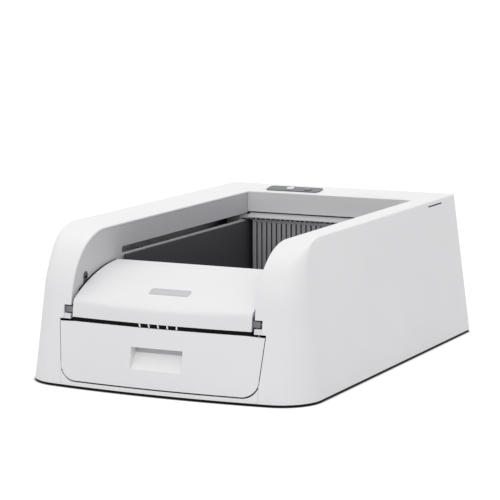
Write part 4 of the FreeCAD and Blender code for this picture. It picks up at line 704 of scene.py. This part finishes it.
for side, end in SIDES:
    toothed_belt("drive_belt_" + end)
dressed_motor("rake_motor", toward=-1)
dressed_motor("scoop_motor", toward=1)
board_parts()
for node in ("guide_rod_left", "guide_rod_right", "drive_shaft", "scoop_shaft", "motor_shaft",
             "drive_pulley_left", "drive_pulley_right", "idler_pulley_left", "idler_pulley_right",
             "shaft_gear", "motor_pinion", "sensor_lenses", "scoop_bushes", "shaft_bearings",
             "clean_button", "power_button", "rubber_feet", "panel_lights"):
    refined(node, angle=SMOOTH_BELOW_TURNED)
crossed_screws("base_screws", axis=2, toward=-1, reach=1.6 * MM)
crossed_screws("drawer_screws", axis=1, toward=1, reach=1.2 * MM)


# Floor and light. The camera sees the floor partly as a white glow, which fades where a piece is close:
# a painted contact shadow.

WHITE = (1.0, 1.0, 1.0, 1.0)
FLOOR_COLOR = (0.72, 0.72, 0.73, 1.0)
FLOOR_REACH = 14.0
GLOW_SHARE = 0.78
GLOW_STRENGTH = 1.2
CONTACT_SHADOW_DISTANCE = 7 * MM
CONTACT_SHADOW_SPAN = (0.45, 0.95)
SKY_STRENGTH = 0.83
BACKGROUND_STRENGTH = 1.0
# Name, place, aim and size in metres, and power in watts.
SOFTBOXES = (
    ("top_softbox", (-0.5, 0.5, 2.8), (0.0, 0.0, 0.0), (2.2, 2.2), 15.0),
    ("front_softbox", (0.2, -3.3, 2.0), (0.0, -0.1, 0.12), (1.6, 1.2), 10.0),
    ("corner_softbox", (1.9, -3.0, 2.5), (0.0, -0.15, 0.1), (1.6, 1.6), 7.0),
)


def floor_finish():
    material = bpy.data.materials.new("studio_floor_pale")
    material.use_nodes = True
    tree = material.node_tree
    shader = tree.nodes["Principled BSDF"]
    shader.inputs["Base Color"].default_value = FLOOR_COLOR
    shader.inputs["Roughness"].default_value = 0.9
    shader.inputs["Specular IOR Level"].default_value = 0.1
    glow = tree.nodes.new("ShaderNodeEmission")
    glow.inputs["Color"].default_value = WHITE
    # Ambient occlusion dims the glow near the pieces: painted contact shadow.
    contact = tree.nodes.new("ShaderNodeAmbientOcclusion")
    contact.inputs["Distance"].default_value = CONTACT_SHADOW_DISTANCE
    depth = tree.nodes.new("ShaderNodeMapRange")
    depth.inputs["From Min"].default_value = CONTACT_SHADOW_SPAN[0]
    depth.inputs["From Max"].default_value = CONTACT_SHADOW_SPAN[1]
    depth.inputs["To Max"].default_value = GLOW_STRENGTH
    tree.links.new(contact.outputs["AO"], depth.inputs["Value"])
    tree.links.new(depth.outputs["Result"], glow.inputs["Strength"])
    path = tree.nodes.new("ShaderNodeLightPath")
    share = tree.nodes.new("ShaderNodeMath")
    share.operation = "MULTIPLY"
    share.inputs[1].default_value = GLOW_SHARE
    tree.links.new(path.outputs["Is Camera Ray"], share.inputs[0])
    mix = tree.nodes.new("ShaderNodeMixShader")
    tree.links.new(share.outputs[0], mix.inputs[0])
    tree.links.new(shader.outputs[0], mix.inputs[1])
    tree.links.new(glow.outputs[0], mix.inputs[2])
    tree.links.new(mix.outputs[0], tree.nodes["Material Output"].inputs["Surface"])
    return material


def studio_floor():
    mesh = bpy.data.meshes.new("studio_floor")
    bm = bmesh.new()
    bmesh.ops.create_grid(bm, x_segments=1, y_segments=1, size=FLOOR_REACH)
    bm.to_mesh(mesh)
    bm.free()
    mesh.materials.append(floor_finish())
    floor = bpy.data.objects.new("studio_floor", mesh)
    scene.collection.objects.link(floor)


def softbox(name, place, aim, size, power):
    data = bpy.data.lights.new(name, "AREA")
    data.shape = "RECTANGLE"
    data.size, data.size_y = size
    data.energy = power
    lamp = bpy.data.objects.new(name, data)
    scene.collection.objects.link(lamp)
    lamp.location = place
    lamp.rotation_euler = (Vector(aim) - Vector(place)).to_track_quat("-Z", "Y").to_euler()


def studio_light():
    """A soft sky, which the camera and glossy surfaces see as white, and three softboxes."""
    world = bpy.data.worlds.new("studio_world")
    scene.world = world
    world.use_nodes = True
    tree = world.node_tree
    sky = tree.nodes["Background"]
    sky.inputs["Color"].default_value = WHITE
    sky.inputs["Strength"].default_value = SKY_STRENGTH
    white = tree.nodes.new("ShaderNodeBackground")
    white.inputs["Color"].default_value = WHITE
    white.inputs["Strength"].default_value = BACKGROUND_STRENGTH
    path = tree.nodes.new("ShaderNodeLightPath")
    either = tree.nodes.new("ShaderNodeMath")
    either.operation = "ADD"
    either.use_clamp = True
    tree.links.new(path.outputs["Is Camera Ray"], either.inputs[0])
    tree.links.new(path.outputs["Is Glossy Ray"], either.inputs[1])
    mix = tree.nodes.new("ShaderNodeMixShader")
    tree.links.new(either.outputs[0], mix.inputs[0])
    tree.links.new(sky.outputs[0], mix.inputs[1])
    tree.links.new(white.outputs[0], mix.inputs[2])
    tree.links.new(mix.outputs[0], tree.nodes["World Output"].inputs["Surface"])
    for lamp in SOFTBOXES:
        softbox(*lamp)


studio_floor()
studio_light()

bpy.context.view_layer.update()
